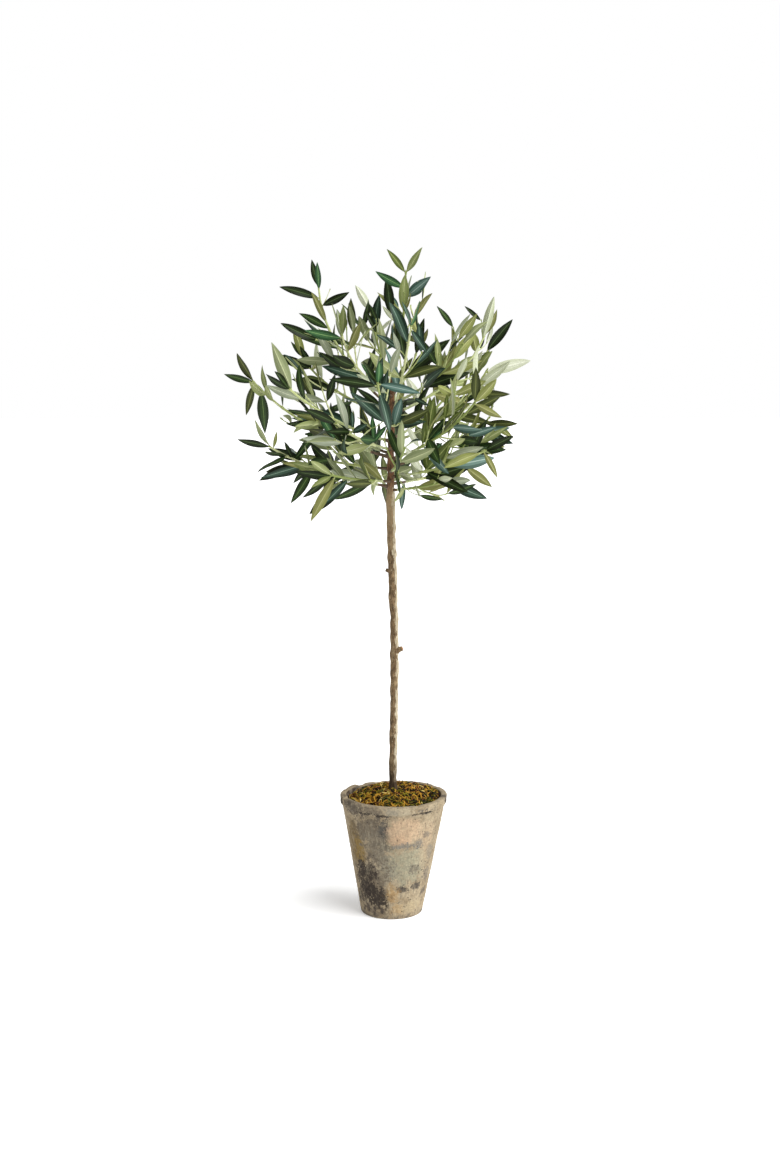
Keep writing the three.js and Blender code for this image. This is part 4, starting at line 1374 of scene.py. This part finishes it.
def shaken(line, amount, roller):
    return line + np.array([[roller.spread(amount) for _ in range(3)] for _ in line])


def noded(base, swellings, reach, size):
    """Radii along a limb that swells a little at its nodes. Shares run from 0 to 1."""
    shares = np.linspace(0, 1, len(base))
    swell = sum(np.exp(-(((shares - s) / reach) ** 2)) for s in swellings)
    return base + size * swell


def twig_bark(name, dark, light):
    """Smooth young bark with fine lengthwise strings and specks."""
    look, rows = (light, 0.6, 0.35), ((0.38, 0.6, light),)
    return clouded(name, look, (600, 5, 0.65), dark, rows, (1500, 3, 0.6), (0.25, 0.6))


def make_boughs(crown):
    """The boughs: brown where they leave the trunk, and pale green further out."""
    steps, sides = BOUGH.mesh
    pile = Pile()
    for number, curve in enumerate(crown.curves):
        line = curve.line(0, BOUGH.share + 0.004, steps)
        shares = np.linspace(0, 1, len(line))
        radii = lerp(BOUGH.radius, BOUGH.tip_radius, shares)
        radii = radii + BOUGH.collar * np.exp(-((shares / BOUGH.collar_reach) ** 2))
        roller = Roller(SEED.looks + SEED.boughs * number)
        rough = np.array([roller.spread(BOUGH.rough) for _ in line])
        radii = noded(radii + rough, *BOUGH.node)
        line = shaken(line, BOUGH.shake, roller)
        brown_faces = sides * int(steps * roller.between(*BOUGH.brown))
        paint = np.where(np.arange(steps * sides) < brown_faces, 0, 1)
        add_tube(pile, line, radii, sides, paint, np.repeat([0, 1], sides))
    brown = twig_bark("bough_brown", "3a2b1f", "65503a")
    green = twig_bark("bough_green", "8d9668", "bac193")
    piece = pile.piece("bough_bark", [brown, green], sharp=60)
    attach(piece, "root")
    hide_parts(*["bough_" + row[0] for row in LIMBS])


# Tints of the green stems and buds.
STEM_TINTS = ("9ba566", "b2bb7f", "818e4b", "c6cb96")
# Moulded stems are a little thicker than the frame's slim ones.
STOUT = 1.3
# How the stems, their side twigs and the fine ones are drawn: the radii at both ends, steps, sides,
# how far a swelling at a leaf node reaches and how much it adds, and the size of the bud.
STEM_LOOK = (STOUT * STEM.radius, STOUT * STEM.tip_radius, 60, 10, 0.012, 0.5, 1.1)
TWIG_LOOK = (TWIG.radius, STEM.tip_radius * 0.8, 26, 8, 0.03, 0.35, 0.9)
FINE_LOOK = (FINE.radius, FINE.tip_radius, 14, 6, 0.05, 0.25, 0.6)
TWIG_NODES = (0.45, 0.98)
# A bud's length for its size, its radii, and its sides.
BUD = Values(length=3.2, radii=np.array([0.6, 0.95, 1.0, 0.75, 0.4, 0.1]), sides=6)


def add_bud(pile, place, heading, size, paint):
    """A small pointed bud at a tip."""
    shares = np.linspace(0, 1, len(BUD.radii))
    line = [place + heading * size * BUD.length * share for share in shares]
    add_tube(pile, line, size * BUD.radii, BUD.sides, paint)


def add_stem(pile, curve, start, look, nodes, shake, seed):
    """One stem with swollen nodes and a bud at its tip, in one of the stem tints."""
    thick, thin, steps, sides, reach, swelling, bud = look
    roller = Roller(SEED.looks + seed)
    line = curve.line(start, 1, steps)
    radii = noded(lerp(thick, thin, np.linspace(0, 1, len(line))), nodes, reach, swelling)
    if shake:
        line = shaken(line, shake, roller)
    add_tube(pile, line, radii, sides, int(roller.roll() * len(STEM_TINTS)))
    add_bud(pile, curve.at(1), curve.along(1), bud, 2)


def make_stems(crown):
    """The stems of the masses, their side twigs and the fine ones."""
    pile = Pile()
    for number, curve in enumerate(crown.curves):
        count, first = nodes_of(curve, BOUGH.share, STEM.first_node)
        nodes = [lerp(first, 1, node / count) for node in range(count + 1)]
        add_stem(pile, curve, BOUGH.share, STEM_LOOK, nodes, STEM.shake, SEED.stems * number)
    for index, (twig, _) in enumerate(crown.twigs):
        add_stem(pile, twig, 0, TWIG_LOOK, TWIG_NODES, 0, SEED.twigs + index)
    for index, (twig, _) in enumerate(crown.fine):
        add_stem(pile, twig, 0, FINE_LOOK, TWIG_NODES, 0, SEED.fine_twigs + index)
    tints = [material(f"stem_{i}", tint, 0.55, 0.35) for i, tint in enumerate(STEM_TINTS)]
    piece = pile.piece("crown_stems", tints, sharp=70)
    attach(piece, "root")
    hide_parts(*["foliage_" + row[0] for row in LIMBS])


# The blades of the leaves

# Plain colours by shade. Each has a top, its paler middle, its rib, and the same below.
SHADES = {
    "bottle": ("141d08", "223013", "4d5f39", "7d8660", "89916b", "b3b98f"),
    "forest": ("1c2b0e", "2d421d", "5b703e", "88915e", "949c6c", "b9be8e"),
    "khaki": ("333a18", "444b26", "757b45", "747643", "7e804e", "a6a774"),
    "olive": ("4b5724", "5d6a34", "9aa362", "7f854a", "8c9158", "b5b880"),
    # The teal and slate tops are partly their own blue-green and partly painted sheen: the bluish
    # reflection on glossy tops is painted into their colours.
    "teal": ("1f3025", "364d3e", "708776", "8d957a", "9aa289", "bfc3a8"),
    "slate": ("3b544a", "5a756b", "97aba1", "9ea78f", "aab29b", "cbd0b8"),
    "fresh": ("284829", "3d643c", "7ba065", "97a06a", "a5ac79", "c6cb9c"),
    "sage": ("6d7743", "7c8653", "a9ae7a", "b4ba9a", "c0c6a9", "d9ddc5"),
    "cream": ("848c61", "929a70", "bcc095", "c9ceb3", "d3d7c0", "e8ead8"),
}
PARTS = ("top", "top_inner", "top_rib", "under", "under_inner", "under_rib")
STALK = len(PARTS)

# How leaves are shaded: how often the dark side of a leaf is turned to the front, shades with
# weights, and the limbs. The last row is for all other limbs.
# The left limbs show mostly dark sides and shades and the right ones mostly pale, partly as painted
# shade on the crown's left and painted light on its right.
MOODS = (
    (0.76, dict(bottle=6, forest=4, khaki=3, teal=2, olive=1, sage=1), (
        "left_top", "far_left", "left_low", "left_front", "left_back_high", "front_left_high",
        "front_left_low", "back_left", "left_back_low", "back_low", "back",
    )),
    (0.76, dict(teal=5, bottle=4, slate=2, fresh=2, khaki=1), (
        "front_right_high", "front", "front_left",
    )),
    (0.55, dict(olive=5, khaki=4, sage=3, forest=2, slate=1), (
        "top", "front_right", "right", "right_small",
    )),
    (0.34, dict(cream=3, sage=4, olive=4, khaki=2, forest=1), ("right_back_top", "far_right")),
    (0.62, dict(bottle=4, forest=3, teal=2, olive=2, sage=2, cream=1), ()),
)
# The columns of a blade from edge to edge over its top and back under it, and each face's part.
COLUMNS = np.array([-1, -0.5, -0.08, 0, 0.08, 0.5, 1, 0.5, 0.08, 0, -0.08, -0.5])
OVER = np.array([0, 1, 1, 1, 1, 1, 0, -1, -1, -1, -1, -1])
FACE_PARTS = np.array([0, 1, 2, 2, 1, 0, 3, 4, 5, 5, 4, 3])
# How a blade is made, in shares of its length where a part of it starts or ends.
BLADE = Values(
    rings=(0.015, 0.985), petiole=0.07, half_stalk=0.5, thick=0.2, rib_over=0.1, rib_under=0.35,
    rib_to=0.86, veins=7, vein=0.05, vein_slant=1.1, vein_from=0.2, vein_to=0.9, hook_from=0.62,
    hook=2.4, base=0.6, opens=(0.05, 0.16), closes=(1.0, 0.93), stalk_ends=(0.04, 0.12),
    waves=9, twist_from=0.15, shoulder=0.9, tip_ease=8,
)
# How far one leaf may differ from the next.
LOOKS = Values(
    fold=(0.22, 0.5), curl=(0.03, 0.2), twist=0.65, wave=0.09, wave_at=(0, 6.28),
    hook=(-0.06, 0.2), wide=(0.94, 1.2), slim=0.92, full=(0.74, 0.96), behind=(20, 110),
    dark_behind=0.42,
)


def leaf_looks(leaf, young):
    """How one leaf differs from the next: its shade, which side shows to the front, and its curl."""
    roller = Roller(SEED.looks + leaf["seed"] ** 2 * SEED.leaf_looks + (SEED.young if young else 0))
    limb = LIMBS[leaf["mass"]][0]
    dark_front, weights, _ = next(row for row in MOODS if limb in row[2] or not row[2])
    shade = roller.pick(weights)
    behind = smooth(*LOOKS.behind, leaf["root"][1])
    dark_to_front = roller.roll() < lerp(dark_front, LOOKS.dark_behind, behind)
    shade, dark_to_front = SHADED.get(leaf["seed"], (shade, dark_to_front))
    by_hand = "shade" in leaf
    if by_hand:
        shade, dark_to_front = leaf["shade"], leaf["dark"]
    return {
        "shade": list(SHADES).index(shade),
        "flip": dark_to_front != (leaf["face"][1] < 0),
        "fold": roller.between(*LOOKS.fold),
        "curl": roller.between(*LOOKS.curl),
        "twist": roller.spread(LOOKS.twist),
        "wave": roller.spread(LOOKS.wave),
        "wave_at": roller.between(*LOOKS.wave_at),
        "hook": roller.between(*LOOKS.hook),
        "wide": roller.between(*LOOKS.wide) * (LOOKS.slim if young or by_hand else 1.0),
        "full": roller.between(*LOOKS.full),
    }


class Blades:
    """All blades of a piece at once. Its arrays run over leaves, rings, columns and axes."""

    def __init__(self, leaves, young, rows):
        self.entries = [{**leaf, **leaf_looks(leaf, young)} for leaf in leaves]
        self.share = np.linspace(*BLADE.rings, rows)[None, :, None]
        flip = np.where(self.of("flip"), -1.0, 1.0)
        self.root, self.along = self.of("root"), self.of("along")
        self.face, self.across = (self.of(key) * flip[..., None] for key in ("face", "across"))
        self.bend, self.sweep = self.of("bend") * flip, self.of("sweep") * flip
        self.length = self.of("length")

    def of(self, key):
        return np.array([entry[key] for entry in self.entries], float)[:, None, None]

    def middle(self, share):
        """The middle lines, which bend, sweep to a side, and hook at the tip."""
        hook = self.of("hook") * np.maximum(0, share - BLADE.hook_from) ** 2 * BLADE.hook
        return (
            self.root
            + self.along * (self.length * share)[..., None]
            + self.face * (self.length * (self.bend * share ** 2 - hook))[..., None]
            + self.across * (self.length * self.sweep * share ** 2)[..., None]
        )

    def ways(self):
        """The ways across and up at each ring, turned a little more towards the tip."""
        share = self.share
        bent = self.face * (2 * self.bend * share)[..., None]
        heading = normed(self.along + bent + self.across * (2 * self.sweep * share)[..., None])
        side = normed(self.across - heading * (self.across * heading).sum(-1, keepdims=True))
        up = np.cross(heading, side)
        up = up * np.sign((up * self.face).sum(-1, keepdims=True))
        twist = (self.of("twist") * (share - BLADE.twist_from))[..., None]
        return side * np.cos(twist) + up * np.sin(twist), up * np.cos(twist) - side * np.sin(twist)

    def half_width(self):
        """Half the greatest width of each blade, and half the width at each ring."""
        stalk = BLADE.petiole * 0.6
        blade = np.clip((self.share - stalk) / (1 - stalk), 0, 1)
        half = self.length * LEAF.slimness / 2 * self.of("wide")
        shape = np.sin(math.pi * blade ** BLADE.shoulder) ** self.of("full")
        least = BLADE.half_stalk * np.minimum(1, (1 - self.share) * BLADE.tip_ease)
        return half, np.maximum(half * shape, least)

    def lift(self, half, width):
        """How far each column stands up: the fold, a wave, veins, the blade's thickness and its rib."""
        share, u = self.share, COLUMNS
        off = np.abs(u)
        bladed = smooth(*BLADE.opens, share) * smooth(*BLADE.closes, share)
        lift = width * bladed * (self.of("fold") * off ** 1.2 - self.of("curl") * off ** 3)
        wave = np.sin(BLADE.waves * share + self.of("wave_at"))
        lift = lift + half * self.of("wave") * u * off * wave
        turns = BLADE.veins * share - BLADE.vein_slant * off
        veins = BLADE.vein * np.cos(2 * math.pi * turns)
        lift = lift + bladed * veins * (off > BLADE.vein_from) * (off < BLADE.vein_to)
        thick = lerp(BLADE.thick, BLADE.half_stalk, 1 - smooth(*BLADE.stalk_ends, share))
        rib = np.where(u == 0, np.where(OVER > 0, BLADE.rib_over, BLADE.rib_under), 0)
        return lift + OVER * (thick * np.sqrt(np.maximum(0, 1 - u ** 2)) + rib * bladed)

    def points(self):
        """The corners of each leaf: one at its base, its rings, and one at its tip."""
        half, width = self.half_width()
        side, up = self.ways()
        rings = self.middle(self.share) + side * (width * COLUMNS)[..., None]
        rings = rings + up * self.lift(half, width)[..., None]
        base = self.root[:, 0] - self.along[:, 0] * BLADE.base
        tip = self.middle(np.ones((1, 1, 1)))[:, 0]
        return np.concatenate([base, rings.reshape(len(rings), -1, 3), tip], axis=1)


def normed(vectors):
    return vectors / np.linalg.norm(vectors, axis=-1, keepdims=True)


def blade_faces(rows):
    """The faces of one blade by corner number, and the part of the leaf that each belongs to."""
    sides = len(COLUMNS)
    parts = np.tile(FACE_PARTS, rows - 1)
    share = np.repeat(np.linspace(*BLADE.rings, rows)[:-1], sides)
    parts = np.where((parts % 3 == 2) & (share > BLADE.rib_to), parts - 1, parts)
    parts = np.where(share < BLADE.petiole, STALK, parts)
    ends = end_fans(1, 1 + (rows - 1) * sides, sides, (0, 1 + rows * sides))
    end_parts = np.concatenate([np.full(sides, STALK), np.where(FACE_PARTS < 3, 0, 3)])
    return (ring_faces(rows, sides) + 1, parts), (ends, end_parts)


def make_leaves(name, leaves, tints, young, rows):
    """One joined piece of leaves, each in the plain colours of its shade."""
    blades = Blades(leaves, young, rows)
    points = blades.points()
    starts = np.arange(len(leaves))[:, None, None] * points.shape[1]
    shades = blades.of("shade")[:, :, 0].astype(int)
    groups = []
    for faces, part in blade_faces(rows):
        paint = np.where(part == STALK, STALK * len(SHADES), shades * STALK + part)
        groups.append(((faces + starts).reshape(-1, faces.shape[1]), paint.ravel()))
    pile = Pile()
    pile.add(points, *groups)
    piece = pile.piece(name, tints, sharp=75)
    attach(piece, "root")
    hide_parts(*["foliage_" + row[0] for row in LIMBS])


def leaf_materials():
    """Waxy tops and dull felted undersides in each shade, and one colour for the stalks."""
    made = []
    for shade, tints in SHADES.items():
        for part, tint in zip(PARTS, tints):
            roughness, specular = (0.42, 0.14) if part.startswith("top") else (0.7, 0.1)
            made.append(material(f"leaf_{shade}_{part}", tint, roughness, specular))
    return made + [material("leaf_stalk", "aab274", 0.6, 0.3)]


# The camera, the floor and the light

def make_camera():
    camera = bpy.data.cameras.new("camera")
    camera.sensor_width = 36.0
    camera.lens = CAMERA.focal / PHOTO[1] * camera.sensor_width
    obj = placed("camera", camera)
    obj.location = CAMERA.place * MM
    obj.rotation_euler = (math.radians(90 - CAMERA.down), 0, 0)
    bpy.context.scene.camera = obj


FLOOR_REACH = 40000.0


def make_floor():
    """A plain pale floor, wide enough to reach the horizon."""
    glow = {"emission_color": (1, 1, 1, 1), "emission_strength": 0.3}
    corners = np.array([(-1, -1, 0), (1, -1, 0), (1, 1, 0), (-1, 1, 0)]) * FLOOR_REACH
    pile = Pile()
    pile.add(corners, (np.arange(4)[None], 0))
    floor = pile.piece("floor", [material("floor_white", "f2f2f2", 0.9, 0.0, **glow)], sharp=50)


def make_sun(name, azimuth, elevation, softness, power):
    """A soft distant light. Its azimuth is the side that it comes from, in degrees."""
    lamp = bpy.data.lights.new(name, "SUN")
    lamp.angle = math.radians(softness)
    lamp.energy = power
    obj = placed(name, lamp)
    place = Vector((*outwards(azimuth)[:2], math.tan(math.radians(elevation))))
    obj.location = place
    obj.rotation_euler = (-place).to_track_quat("-Z", "Y").to_euler()


def make_studio():
    """Soft light from the upper right, with a dim surround and a white ground behind."""
    make_sun("key", -36, 54, 45, 3.1)
    make_sun("rim", -4, 20, 40, 1.6)
    world = bpy.data.worlds.new("surround")
    world.use_nodes = True
    tree = world.node_tree
    dim, white = tree.nodes["Background"], tree.nodes.new("ShaderNodeBackground")
    for ground, strength in ((dim, 0.42), (white, 1.0)):
        ground.inputs["Color"].default_value = (1, 1, 1, 1)
        ground.inputs["Strength"].default_value = strength
    seen = tree.nodes.new("ShaderNodeLightPath")
    mix = tree.nodes.new("ShaderNodeMixShader")
    tree.links.new(seen.outputs["Is Camera Ray"], mix.inputs["Fac"])
    tree.links.new(dim.outputs["Background"], mix.inputs[1])
    tree.links.new(white.outputs["Background"], mix.inputs[2])
    tree.links.new(mix.outputs["Shader"], tree.nodes["World Output"].inputs["Surface"])
    bpy.context.scene.world = world
    bpy.context.scene.view_settings.view_transform = "Standard"


make_camera()
make_floor()
make_studio()
make_pot()
make_filling()
make_moss_bed()
make_moss_fibres()
make_trunk()
crown = Crown()
make_boughs(crown)
make_stems(crown)
tints = leaf_materials()
make_leaves("leaves", crown.leaves, tints, False, 18)
make_leaves("young_leaves", crown.young, tints, True, 11)
